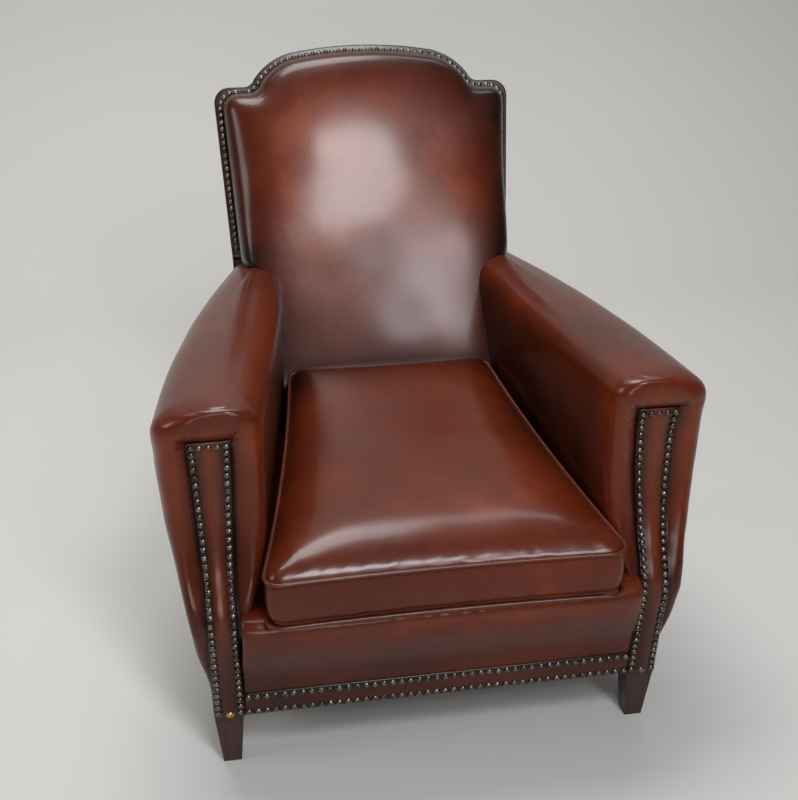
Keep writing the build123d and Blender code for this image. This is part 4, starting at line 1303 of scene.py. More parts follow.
    def clear_of_strip(self, x: np.ndarray, z: np.ndarray, lift: float = 0.0) -> np.ndarray:
        """Distance from the strip's edge, with its upper end raised by a lift."""
        beside = np.maximum(np.abs(x - self.strip_x) - self.gauge(z) - self.strip_margin, 0.0)
        return np.hypot(beside, np.maximum(z - self.strip_top - lift, 0.0))

    def spokes(self, x: np.ndarray, z: np.ndarray) -> np.ndarray:
        """Small creases that fan out from the upper corners of the strip, in millimetres."""
        made = np.zeros_like(x)
        half = float(self.gauge(self.strip_top)) + self.strip_margin
        for sign in (-1.0, 1.0):
            across = sign * (x - self.strip_x) - half + self.spoke_in
            lift = z - self.strip_top + self.spoke_under
            reach = np.hypot(across, lift)
            turn = np.arctan2(lift, across)
            start = self.spoke_start[0] * sign + self.spoke_start[1] * self.side.value
            wave = np.sin(self.spoke_turns * turn + start + self.spoke_curl * reach)
            made += np.maximum(wave, 0.0) ** 2 * self.spoke.at({"turn": turn, "reach": reach})
        return made

    def tones(self, rings: np.ndarray) -> np.ndarray:
        """How light the arm's leather is drawn at each point, painted shade and painted light
        included.
        """
        x, y, z = rings[..., 0], rings[..., 1], rings[..., 2]
        measures = {
            "height": z,
            "along": y,
            "inward": self.crest[0] - self.crest[1] * y - x,
            "ahead": y - np.interp(z, *self.front_line()),
            "clear": self.clear_of_strip(x, z),
        }
        return shaded(self.plain_tone, self.shades, measures, self.tone_limits)

    def build(self, finishes: Finishes) -> list[bpy.types.Object]:
        """Make the arm's pieces.

        Args:
            finishes: The chair's materials.

        Returns:
            The padded arm, its facing strip and its nails.
        """
        word = self.side.word
        flip = np.array([float(self.side.value), 1.0, 1.0])
        plain = self.body_rings()
        rings = self.creased(plain)
        padded = ring_piece(
            f"padded_arm_{word}", self.plan.metres(rings * flip), self.tones(plain)
        )
        parts = ("arm_front_cover", "inside_arm_cover", "outside_arm_cover", "arm_padding")
        covers = [f"{part}_{word}" for part in parts]
        dress(padded, finishes.leather, Body.CHAIR, covers)
        strip = self.strip(flip)
        dress(strip, finishes.edge, Body.CHAIR, [f"arm_facing_strip_{word}"])
        nails = NailRow(f"facing_nails_{word}", self.nail_places(flip), seed=5 + self.side.value)
        made = nails.build(self.plan, finishes.nail, Body.CHAIR, [f"arm_nails_{word}"])
        spot = self.front_place(flip, 0.0, self.stud_station, self.stud_size)
        stud = NailRow(f"foot_stud_{word}", [spot])
        metal = finishes.brass if self.side is Side.LEFT else finishes.nail
        return [padded, strip, made, stud.build(self.plan, metal, Body.CHAIR, [])]

    def strip_line(self) -> tuple[np.ndarray, np.ndarray, np.ndarray]:
        """Line up the front of the arm: heights, faces and outward directions (y, z)."""
        heights, faces = self.front_line()
        z = np.linspace(self.plan.base, self.strip_top, self.strip_rows)
        y = np.interp(z, heights, faces)
        blur = np.ones(self.strip_blur) / self.strip_blur
        y = np.convolve(np.pad(y, self.strip_blur // 2, mode="edge"), blur, mode="valid")
        slope = np.gradient(y, z)
        way = np.stack([-np.ones_like(slope), slope], axis=1)
        return z, y, way / np.linalg.norm(way, axis=1)[:, None]

    def strip(self, flip: np.ndarray) -> bpy.types.Object:
        """Leather strip up the middle of the arm's front."""
        z, y, way = self.strip_line()
        half = self.gauge(z) + self.strip_margin
        outward = np.stack([np.zeros_like(y), way[:, 0], way[:, 1]], axis=1)
        left = np.stack([self.strip_x - half, y, z], axis=1)
        right = np.stack([self.strip_x + half, y, z], axis=1)
        name, build = f"facing_strip_{self.side.word}", self.strip_build
        return ribbon(
            name, self.plan, left * flip, right * flip, outward, build, self.strip_lightness
        )

    def front_place(
        self, flip: np.ndarray, across: float, along: float, size: float
    ) -> NailPlace:
        """Where a nail stands on the strip.

        Args:
            flip: Factors that mirror the right arm to this one.
            across: Distance from the strip's middle.
            along: Distance up the strip from its foot.
            size: The nail's size as a share of the usual one.

        Returns:
            The nail's place, its outward direction and its size.
        """
        z, y, way = self.strip_line()
        lengths = run_lengths(np.stack([y, z], axis=1))
        spot = np.array(
            [self.strip_x + across, np.interp(along, lengths, y), np.interp(along, lengths, z)]
        )
        outward = np.array(
            [0.0, np.interp(along, lengths, way[:, 0]), np.interp(along, lengths, way[:, 1])]
        )
        lift = self.strip_build[0] + self.nail_lift
        return (spot + outward * lift) * flip, outward, size

    def nail_places(self, flip: np.ndarray) -> list[NailPlace]:
        """Two columns of nails and the short row between their tops."""
        z, y, _ = self.strip_line()
        lengths = run_lengths(np.stack([y, z], axis=1))
        last = lengths[-1] - self.nail_inset
        count = round((last - self.nail_inset) / self.nail_pitch)
        places = []
        for index in range(count + 1):
            along = self.nail_inset + (last - self.nail_inset) * index / count
            gauge = float(self.gauge(np.interp(along, lengths, z)))
            for sign in (-1, 1):
                places.append(self.front_place(flip, sign * gauge, along, 1.0))
        gaps = round(2 * gauge / self.nail_pitch)
        for step in range(1, gaps):
            places.append(self.front_place(flip, 2 * gauge * step / gaps - gauge, last, 1.0))
        return places


# Front border


@dataclass
class FrontBorder:
    """Padded border under the cushion with its leather band and two rows of nails."""

    plan: Plan
    half: float = 281.3
    half_top: float = 277.0
    square_height: float = 190.0
    face_low: float = -10.0
    band_y: float = -12.5
    band_bow: float = 1.2
    full_y: float = -50.0
    full_height: float = 257.0
    roll_y: float = -28.0
    back_y: float = 34.0
    back_drop: float = 0.4
    band_high: float = 40.0
    band_margin: float = 6.5
    band_count: int = 44
    band_span: float = 276.0
    strip_low: float = 281.8
    band_build: Triple = (2.5, 1.5, 1.6)
    band_rows: int = 90
    section_count: int = 150
    face_rows: tuple[tuple[float, float], ...] = ((-19.0, 168.0), (-31.0, 198.0), (-43.0, 228.0))
    end_reach: float = 34.0
    end_fall: float = 6.0
    end_share: float = 0.97
    middle_swell: float = 1.5
    roll: Shade = Shade(1.0, (("height", 150.0, 250.0),))
    swell_scale: Triple = (0.012, 0.02, 0.02)
    ridge: Shade = Shade(0.7, (("height", 200.0, 250.0),))
    ridge_scale: Triple = (0.10, 0.01, 0.025)
    nail_tilt: float = 0.05
    band_tilt: float = 0.03
    band_lightness: tuple[float, float] = (0.45, 0.6)
    face_steps: int = 7
    fine_steps: int = 12
    shoulder_steps: int = 14
    tone_limits: tuple[float, float] = (0.03, 0.9)
    plain_tone: float = 0.27
    shades: tuple[Shade, ...] = (
        # Painted highlight: lighter up towards the roll under the cushion
        Shade(0.20, (("height", 150.0, 262.0),)),
        # Painted shade at the ends, against the arms
        Shade(-0.10, (("outward", 190.0, 268.0),)),
        # Lighter towards the right end
        Shade(0.10, (("across", 60.0, 200.0),)),
    )

    def face(self, count: int) -> np.ndarray:
        """Face of the border from its foot to the fullest point, as (y, z)."""
        rows = (
            (self.face_low, self.plan.base),
            (self.face_low - self.band_bow, self.plan.base + 0.5 * self.band_high),
            (self.band_y, self.plan.base + self.band_high),
            *self.face_rows,
            (self.full_y, self.full_height),
        )
        return smooth_rows(rows, count)

    def rings(self) -> np.ndarray:
        """Cross-sections from one end to the other."""
        face = self.face(self.face_steps)
        turns = np.linspace(0, 0.5 * math.pi, self.shoulder_steps)[1:]
        shoulder = np.stack(
            [
                self.roll_y + (self.full_y - self.roll_y) * np.cos(turns),
                self.full_height + (self.plan.deck - self.full_height) * np.sin(turns),
            ],
            axis=1,
        )
        top_back = [self.back_y, self.plan.deck - self.back_drop]
        back = np.array([top_back, [self.back_y, self.plan.base]])
        section = np.vstack([face, shoulder, back])
        rings = []
        for x in np.linspace(-self.half, self.half, self.section_count):
            rings.append(np.column_stack([np.full(len(section), x), section]))
        rings = np.array(rings)
        drawn = smooth_step(self.square_height, self.full_height, rings[..., 2])
        rings[..., 0] *= 1 - drawn * (1 - self.half_top / self.half)
        x, y, z = rings[..., 0], rings[..., 1], rings[..., 2]
        ahead = y < self.back_y - 1
        roll = self.roll.at({"height": z}) * ahead
        end = np.clip((np.abs(x) / self.half - 1.0) * self.half / self.end_reach + 1.0, 0.0, 1.0)
        fall = 1.0 - np.sqrt(1.0 - self.end_share * end**2)
        rings[..., 1] += roll * (self.end_fall * fall - self.middle_swell * (1 - end))
        rings[..., 1] += ripple(rings * np.array(self.swell_scale), 1.0, seed=3.0) * roll
        ridges = ripple(rings * np.array(self.ridge_scale), 1.0, seed=7.0)
        rings[..., 1] += self.ridge.at({"height": z}) * ridges * ahead
        return rings

    def tones(self, rings: np.ndarray) -> np.ndarray:
        """How light the border's leather is drawn, with a painted highlight along its roll and
        painted shade at its ends.
        """
        x = rings[..., 0]
        measures = {"across": x, "outward": np.abs(x), "height": rings[..., 2]}
        return shaded(self.plain_tone, self.shades, measures, self.tone_limits)

    def band(self) -> bpy.types.Object:
        """Leather band along the foot of the border."""
        face = self.face(self.fine_steps)
        z = np.linspace(self.plan.base, self.plan.base + self.band_high, 3)
        y = np.interp(z, face[:, 1], face[:, 0])
        x = np.linspace(-self.strip_low, self.strip_low, self.band_rows)
        low = np.stack([x, np.full_like(x, y[0]), np.full_like(x, z[0])], axis=1)
        high = np.stack([x, np.full_like(x, y[-1]), np.full_like(x, z[-1])], axis=1)
        outward = np.tile(np.array([0.0, -1.0, self.band_tilt]), (len(x), 1))
        return ribbon(
            "front_band", self.plan, low, high, outward, self.band_build, self.band_lightness
        )

    def nail_places(self) -> list[NailPlace]:
        """Two rows of nails along the band."""
        face = self.face(self.fine_steps)
        places = []
        for height in (
            self.plan.base + self.band_margin,
            self.plan.base + self.band_high - self.band_margin,
        ):
            y = float(np.interp(height, face[:, 1], face[:, 0])) - self.band_build[0]
            for index in range(self.band_count):
                x = self.band_span * (2 * index / (self.band_count - 1) - 1)
                outward = np.array([0.0, -1.0, self.nail_tilt])
                places.append((np.array([x, y, height]), outward, 1.0))
        return places

    def build(self, finishes: Finishes) -> list[bpy.types.Object]:
        """Make the border, its band and its nails."""
        rings = self.rings()
        border = ring_piece("front_border", self.plan.metres(rings), self.tones(rings))
        covers = ["front_border_cover", "front_border_padding"]
        dress(border, finishes.leather, Body.CHAIR, covers)
        band = self.band()
        dress(band, finishes.edge, Body.CHAIR, ["front_band_strip"])
        nails = NailRow("band_nails", self.nail_places(), seed=9)
        made = nails.build(self.plan, finishes.nail, Body.CHAIR, ["front_band_nails"])
        return [border, band, made]


# Back


@dataclass
class Back:
    """Raked, domed back: shell, edge strip with nails and the padded front."""

    plan: Plan
    arm: Arm
    half_base: float = 229.0
    half_bend: float = 249.0
    half_wide: float = 265.0
    shoulder: float = 303.0
    shoulder_round: float = 27.0
    notch_out: float = 213.0
    notch_x: float = 204.0
    notch_lift: float = 1.5
    dome_start: tuple[float, float] = (193.0, 316.0)
    dome_hip: tuple[float, float] = (166.0, 342.0)
    dome_top: tuple[float, float] = (128.0, 359.5)
    apex: float = 371.0
    strip_wide: float = 19.0
    strip_build: Triple = (2.5, 0.5, 0.3)
    pad_foot: float = -250.0
    low_depth: float = 118.0
    top_depth: float = 72.0
    top_station: float = 330.0
    nail_pitch: float = 11.5
    strip_from: int = 24
    edge_steps: int = 30
    notch_steps: int = 4
    arc_steps: int = 10
    crown_steps: int = 30
    low_steps: int = 16
    base_steps: int = 40
    pad_base_steps: int = 60
    strip_in: float = 0.3
    strip_lightness: tuple[float, float] = (0.5, 0.5)
    edge_gap: float = 0.6
    edge_out: float = 5.0
    foot_out: float = 4.0
    pad_centre: tuple[float, float] = (0.0, 45.0)
    shell_centre: tuple[float, float] = (0.0, -40.0)
    shell_reach: float = 252.0
    shell_edge: float = 14.0
    shell_draw: float = 1.15
    shell_tone: float = 0.2
    shell_shades: tuple[Shade, ...] = (
        # Painted shade: darker low down, behind the arms and the seat, lighter towards the top
        Shade(0.2, (("along", -440.0, 300.0),)),
        Shade(-0.1, (("inset", 10.0, 9.0),)),
    )
    arm_press: float = 9.0
    arm_contact: Shade = Shade(1.0, (("under_arm_top", 2.0, -16.0),))
    upper: Shade = Shade(1.0, (("along", 10.0, 170.0),))
    edge_share: float = 0.28
    edge_reach: float = 5.0
    slope_share: tuple[float, float] = (0.16, 0.24)
    slope_reach: tuple[float, float] = (30.0, 18.0)
    lip_share: float = 0.15
    lip_blend: tuple[float, float] = (0.55, 0.45)
    edge_shares: tuple[float, ...] = (0.0, 0.012, 0.03, 0.055, 0.085)
    inner_shares: tuple[float, float, int] = (0.12, 1.0, 46)
    softness: Shade = Shade(1.0, (("distance", 10.0, 60.0),))
    softness_scale: float = 0.011
    tone_limits: tuple[float, float] = (0.03, 0.95)
    pad_tone: float = 0.06
    shades: tuple[Shade, ...] = (
        # Painted shade: darker towards the edges, where the pad rolls down to the strip
        Shade(0.44, (("distance", 2.0, 100.0),)),
        # Painted shade: darker low down, behind the cushion
        Shade(-0.18, (("along", 60.0, -160.0),)),
        Shade(0.10, (("along", 60.0, 260.0), ("across", 120.0, -140.0))),
    )

    def outline(self, inset: float, foot: float) -> np.ndarray:
        """Closed outline in the plane of the frame, from the right foot round to the left.

        Args:
            inset: How far it is drawn in.
            foot: Height of its lower edge, up the frame.

        Returns:
            Points as (across, along), the same number for any inset.
        """
        turn = math.sin(math.radians(45)) * self.shoulder_round
        share = max(min(foot / self.plan.bend_s, 1.0), -1.0)
        half_low = self.plan.back_half_low
        half_foot = half_low + (self.half_bend - half_low) * share
        wide, high, bend = self.half_wide, self.shoulder, self.shoulder_round
        # Each named point, and how far it moves in and down when the outline is drawn in by one
        named = (
            (half_foot, foot, 1.0, 0.0),
            (half_low, 0.0, 1.0, 0.0),
            (wide, high - bend, 1.0, 1.0),
            (wide - bend + turn, high - bend + turn, 1.0, 1.0),
            (wide - bend, high, 1.0, 1.0),
            (self.notch_out, high, 0.45, 1.0),
            (self.notch_x, high + self.notch_lift, 0.45, 1.0),
            (*self.dome_start, 0.75, 0.66),
            (*self.dome_hip, 0.6, 0.8),
            (*self.dome_top, 0.2, 0.98),
        )
        spots = [np.array([x - inset * inwards, y - inset * down]) for x, y, inwards, down in named]
        apex = np.array([0.0, self.apex - inset])

        def straight(first: int, count: int) -> np.ndarray:
            """Points from one named point to the next, without its end."""
            t = np.linspace(0, 1, count, endpoint=False)[:, None]
            return spots[first] + (spots[first + 1] - spots[first]) * t

        right = np.vstack(
            [
                straight(0, self.strip_from),
                straight(1, self.edge_steps),
                arc_points(*spots[2:5], self.arc_steps),
                straight(4, self.notch_steps),
                arc_points(*spots[5:8], self.arc_steps),
                arc_points(*spots[7:10], self.arc_steps),
            ]
        )
        last = spots[-1]
        crown = arc_points(last, apex, last * MIRROR, self.crown_steps)
        return np.vstack([right, crown, last * MIRROR, (right * MIRROR)[::-1]])

    def build(self, finishes: Finishes) -> list[bpy.types.Object]:
        """Make the shell, the padded front, the edge strip and its nails."""
        shell = self.shell()
        covers = ["outside_back_cover", "back_border_cover"]
        dress(shell, finishes.leather, Body.CHAIR, covers)
        pad = self.pad()
        inside = ["back_padding", "inside_back_cover", "back_hessian"]
        dress(pad, finishes.leather, Body.CHAIR, inside)
        strip = self.strip()
        dress(strip, finishes.edge, Body.CHAIR, ["back_edge_strip"])
        nails = NailRow("back_edge_nails", self.nail_places(), seed=15)
        made = nails.build(self.plan, finishes.nail, Body.CHAIR, ["back_nails"])
        return [shell, pad, strip, made]

    def shell(self) -> bpy.types.Object:
        """Leather over the sides and the rear of the back."""
        below_bend = self.plan.bend_height - self.plan.base
        foot = self.plan.bend_s - below_bend / self.plan.low_cosine
        outline = self.outline(0.0, self.plan.bend_s)
        low_right = np.array([[self.half_base, foot]])
        low = np.linspace(0, 1, self.low_steps, endpoint=False)[:, None]
        right = low_right + (outline[0] - low_right) * low
        left = (right * MIRROR)[::-1]
        base_x = np.linspace(-self.half_base, self.half_base, self.base_steps)[1:-1]
        base = np.stack([base_x, np.full_like(base_x, foot)], axis=1)
        ring = np.vstack([right, outline, left, base])
        centre = np.array(self.shell_centre)
        depth = self.plan.slab_depth
        # How far each ring is drawn in, and how far it stands in front of the frame
        rows = (
            (34.0, 0.0), (6.0, 0.0), (2.2, -0.4), (0.6, -2.0), (0.0, -5.0), (0.0, -14.0),
            (0.0, 5.0 - depth), (0.6, 2.0 - depth), (2.2, 0.4 - depth), (6.0, -depth),
            (14.0, -1.2 - depth), (40.0, -3.0 - depth), (90.0, -4.2 - depth),
            (160.0, -4.8 - depth), (216.0, -5.0 - depth),
        )
        rings, tones = [], []
        reach = np.linalg.norm(ring - centre, axis=1)[:, None]
        for inset, out in rows:
            drawn = centre + (ring - centre) * (1 - inset / self.shell_reach)
            if inset <= self.shell_edge:
                drawn = ring + (centre - ring) / reach * inset * self.shell_draw
            rings.append(self.plan.on_slab(drawn[:, 0], drawn[:, 1], np.full(len(ring), out)))
            measures = {"along": drawn[:, 1], "inset": np.full(len(ring), inset)}
            tones.append(shaded(self.shell_tone, self.shell_shades, measures, (0.0, 1.0)))
        rings = np.array(rings)
        return ring_piece("back_shell", self.plan.metres(rings), np.array(tones))

    def pad(self) -> bpy.types.Object:
        """Padded leather front of the back."""
        edge, full_foot = self.strip_wide + self.edge_gap, self.pad_foot - self.foot_out
        boundary = self.outline(edge, self.pad_foot)
        full = self.outline(edge - self.edge_out, full_foot)
        base_x = np.linspace(boundary[-1, 0], boundary[0, 0], self.pad_base_steps)[1:-1]

        def closed(line: np.ndarray, low: float) -> np.ndarray:
            """Outline with points along its lower edge."""
            share = base_x / boundary[0, 0] * line[0, 0]
            return np.vstack([line, np.stack([share, np.full_like(share, low)], axis=1)])

        boundary = closed(boundary, self.pad_foot)
        full = closed(full, full_foot)
        centre = np.array(self.pad_centre)
        flat = [boundary, self.lip_blend[0] * boundary + self.lip_blend[1] * full]
        for share in (*self.edge_shares, *np.linspace(*self.inner_shares)[:-1]):
            flat.append(full + (centre - full) * share)
        flat = np.array(flat)
        along = flat[..., 1]
        distance = soft_distance(flat, full)
        distance[:3] = 0.0
        high = self.upper.at({"along": along})
        slope, reach = (low + more * high for low, more in (self.slope_share, self.slope_reach))
        share = 1.0 - self.edge_share * np.exp(-distance / self.edge_reach)
        share -= slope * np.exp(-distance / reach)
        share[0], share[1] = 0.0, self.lip_share
        depth = self.low_depth + (self.top_depth - self.low_depth) * along / self.top_station
        depths = depth * share
        points = np.stack(
            [
                flat[..., 0],
                self.plan.slab_front + along * self.plan.sine - depths * self.plan.cosine,
                self.plan.strip_origin + along * self.plan.cosine + depths * self.plan.sine,
            ],
            axis=-1,
        )
        soft = ripple(points * self.softness_scale, 1.0, seed=5.0)
        points[2:, :, 1] -= (soft * self.softness.at({"distance": distance}))[2:]
        inner = self.arm.inner_surface(points[..., 1], points[..., 2]) + self.arm_press
        top = self.arm.top(points[..., 1])
        contact = self.arm_contact.at({"under_arm_top": points[..., 2] - top})
        over = np.maximum(np.abs(points[..., 0]) - inner, 0.0) * contact
        points[..., 0] -= np.sign(points[..., 0]) * over
        measures = {"distance": distance, "along": along, "across": flat[..., 0]}
        tones = shaded(self.pad_tone, self.shades, measures, self.tone_limits)
        return ring_piece("padded_back", self.plan.metres(points), tones)

    def strip(self) -> bpy.types.Object:
        """Leather strip along the edge of the back."""
        outer, inner = self.strip_outline(self.strip_in), self.strip_outline(self.strip_wide)
        left = self.plan.on_slab(outer[:, 0], outer[:, 1], 0.0)
        right = self.plan.on_slab(inner[:, 0], inner[:, 1], 0.0)
        outward = np.tile(self.plan.slab_way, (len(left), 1))
        return ribbon(
            "back_strip", self.plan, left, right, outward, self.strip_build, self.strip_lightness
        )

    def strip_outline(self, inset: float) -> np.ndarray:
        """Outline of the back above the tops of the arms, drawn in."""
        return self.outline(inset, 0.0)[self.strip_from : -self.strip_from]

    def nail_places(self) -> list[NailPlace]:
        """Nails along the middle of the edge strip."""
        line = self.strip_outline(0.5 * self.strip_wide)
        lengths = run_lengths(line)
        clear = 2.0 * self.nail_pitch
        run = lengths[-1] - 2 * clear
        count = round(run / self.nail_pitch)
        places = []
        for index in range(count + 1):
            along = clear + run * index / count
            x, s = (np.interp(along, lengths, line[:, axis]) for axis in (0, 1))
            spot = self.plan.on_slab(x, s, self.strip_build[0])
            places.append((spot, self.plan.slab_way, 1.0))
        return places


# Loose cushion


@dataclass
class SeatCushion:
    """Loose crowned cushion with a welt along each seam."""

    plan: Plan
    floor: float = 278.3
    seam_low: float = 282.0
    seam_top: float = 346.0
    crown: float = 380.0
    rise: float = 42.0
    front: float = -56.0
    front_lean: float = 7.0
    rear: float = 478.0
    half_front: float = 245.0
    half_rear: float = 168.0
    side_draw: float = 8.0
    front_draw: float = 5.0
    round_front: float = 20.0
    round_rear: float = 17.0
    welt_radius: float = 3.0
    welt_out: float = 0.8
    middle: tuple[float, float] = (0.0, 205.0)
    floor_shares: tuple[float, ...] = (0.9, 0.6, 0.3, 0.12, 0.05)
    edge_shares: tuple[float, ...] = (0.006, 0.018, 0.035, 0.06)
    inner_shares: tuple[float, float, int] = (0.09, 0.985, 34)
    boxing: tuple[tuple[float, float], ...] = (
        (3.0, 0.02), (1.0, 0.08), (-0.6, 0.18), (-2.2, 0.34), (-2.8, 0.52), (-2.2, 0.72),
        (-0.8, 0.88), (0.4, 1.0),
    )
    full_reach: float = 44.0
    rear_reach: float = 24.0
    rearward: Shade = Shade(1.0, (("along", 260.0, 450.0),))
    edge_share: float = 0.12
    edge_reach: float = 5.0
    crown_power: float = 1.1
    crown_at_middle: float = 0.92
    pull_scale: Triple = (0.16, 0.10, 0.01)
    pulls: tuple[Shade, ...] = (
        Shade(0.385, (("distance", 46.0, 8.0), ("distance", 0.0, 7.0))),
        Shade(0.715, (("distance", 46.0, 8.0), ("distance", 0.0, 7.0), ("along", 80.0, -10.0))),
    )
    softness_scale: float = 0.010
    softness: Shade = Shade(1.6, (("distance", 10.0, 80.0),))
    point_counts: tuple[int, int, int, int] = (64, 64, 48, 64)
    corner_points: int = 10
    tone_limits: tuple[float, float] = (0.05, 0.9)
    ridge_scale: Triple = (0.11, 0.08, 0.05)
    ridge: float = 0.7
    plain_tone: float = 0.28
    shades: tuple[Shade, ...] = (
        Shade(0.12, (("distance", 10.0, 90.0), ("upper", 0.0, 1.0))),
        Shade(0.06, (("along", 260.0, 20.0), ("upper", 0.0, 1.0))),
        # Painted shade: darker towards the rear, under the back
        Shade(-0.16, (("along", 330.0, 470.0),)),
        Shade(0.08, (("upper", 1.0, 0.0),)),
        Shade(0.10, (("across", -40.0, 160.0), ("upper", 1.0, 0.0))),
        # Painted shade at the sides, under the arms
        Shade(-0.10, (("outward", 120.0, 230.0), ("along", 40.0, 200.0))),
    )

    def outline(self, inset: float, level: float = 1.0) -> np.ndarray:
        """Plan outline of the cushion as (x, y).

        Args:
            inset: How far it is drawn in.
            level: Share of the way up from the lower seam to the upper one.

        Returns:
            The outline's points.
        """
        front = self.front - self.front_lean * min(max(1.0 - level, 0.0), 1.0)
        corners = (
            (inset - self.half_front, front + inset),
            (self.half_front - inset, front + inset),
            (self.half_rear - inset, self.rear - inset),
            (inset - self.half_rear, self.rear - inset),
        )
        shrink = 1 - inset / self.half_rear
        rounds = [r * shrink for r in (self.round_front,) * 2 + (self.round_rear,) * 2]
        bows = [b * shrink for b in (self.front_draw, self.side_draw) * 2]
        return rounded_quad(corners, rounds, bows, self.point_counts, self.corner_points)

    def tilt(self, y: np.ndarray) -> np.ndarray:
        """How much higher the upper seam lies at places along the chair."""
        return self.rise * (y - self.front) / (self.rear - self.front)

    def seam_height(self, y: np.ndarray, level: float) -> np.ndarray:
        """Height of the boxing at places along the chair and a level."""
        return self.seam_low + (self.seam_top + self.tilt(y) - self.seam_low) * level

    def rings(self) -> tuple[np.ndarray, np.ndarray]:
        """Rings from the middle of the underside round to the crown, and their edge distance."""
        rim = self.outline(0.0)
        low_rim = self.outline(0.0, 0.0)
        centre = np.array(self.middle)
        flat, heights = [], []
        for share in self.floor_shares:
            flat.append(low_rim + (centre - low_rim) * share)
            heights.append(np.full(len(rim), self.floor))
        for inset, level in self.boxing:
            line = self.outline(inset, level)
            flat.append(line)
            heights.append(self.seam_height(line[:, 1], level))
        top_from = len(flat)
        for share in (*self.edge_shares, *np.linspace(*self.inner_shares)):
            flat.append(rim + (centre - rim) * share)
            heights.append(np.zeros(len(rim)))
        flat = np.array(flat)
        heights = np.array(heights)
        distance = soft_distance(flat, rim)
        rearward = self.rearward.at({"along": flat[..., 1]})
        reach = self.full_reach + (self.rear_reach - self.full_reach) * rearward
        fullness = 1.0 - self.edge_share * np.exp(-distance / self.edge_reach)
        fullness -= (1.0 - self.edge_share) * np.exp(-((distance / reach) ** self.crown_power))
        crown = (self.crown - self.seam_top) / self.crown_at_middle * fullness
        above = self.seam_top + self.tilt(flat[..., 1]) + crown
        heights[top_from:] = above[top_from:]
        points = np.concatenate([flat, heights[..., None]], axis=2)
        return self.wrinkled(points, distance, top_from), distance

    def wrinkled(self, points: np.ndarray, distance: np.ndarray, top_from: int) -> np.ndarray:
        """Small pulls across the welts and soft unevenness of the crown.

        Args:
            points: Plain rings.
            distance: Distance of each point from the cushion's rim.
            top_from: First ring of the top panel.

        Returns:
            The moved rings.
        """
        pull = ripple(points * np.array(self.pull_scale), 1.0, seed=31.0)
        soft = ripple(points * self.softness_scale, 1.0, seed=37.0)
        top = np.zeros(points.shape[0])
        top[top_from:] = 1.0
        measures = {"distance": distance, "along": points[..., 1]}
        pull *= sum(shade.at(measures) for shade in self.pulls)
        soft *= self.softness.at(measures)
        points[..., 2] += top[:, None] * (pull + soft)
        side = (points[..., 2] > self.seam_low) & (top[:, None] < 0.5)
        ridges = ripple(points * np.array(self.ridge_scale), 1.0, seed=41.0)
        outward = points[..., :2] - np.array(self.middle)
        outward /= np.linalg.norm(outward, axis=-1)[..., None]
        points[..., :2] += outward * (self.ridge * ridges * side)[..., None]
        return points

    def welt_line(self, level: float) -> np.ndarray:
        """Closed line of the lower welt (level 0) or the upper one (level 1)."""
        line = self.outline(-self.welt_out * self.welt_radius, level)
        return np.column_stack([line, self.seam_height(line[:, 1], level)])

    def build(self, finishes: Finishes) -> list[bpy.types.Object]:
        """Make the cushion and its two welts."""
        points, distance = self.rings()
        x, y, z = points[..., 0], points[..., 1], points[..., 2]
        measures = {
            "distance": distance,
            "along": y,
            "across": x,
            "outward": np.abs(x),
            "upper": (z > self.seam_top + self.tilt(y) + 0.5).astype(float),
        }
        tones = shaded(self.plain_tone, self.shades, measures, self.tone_limits)
        body = ring_piece("seat_cushion_body", self.plan.metres(points), tones)
        parts = ["cushion_core", "cushion_top_panel", "cushion_bottom_panel", "cushion_boxing"]
        dress(body, finishes.leather, Body.CUSHION, parts)
        made = [body]
        for name, level in (("top", 1.0), ("bottom", 0.0)):
            line = self.plan.metres(self.welt_line(level))
            piece = tube(f"cushion_{name}_piping", line, self.welt_radius * MM)
            dress(piece, finishes.welt, Body.CUSHION, [f"cushion_{name}_welt"])
            made.append(piece)
        return made


# Fixed seat and underside


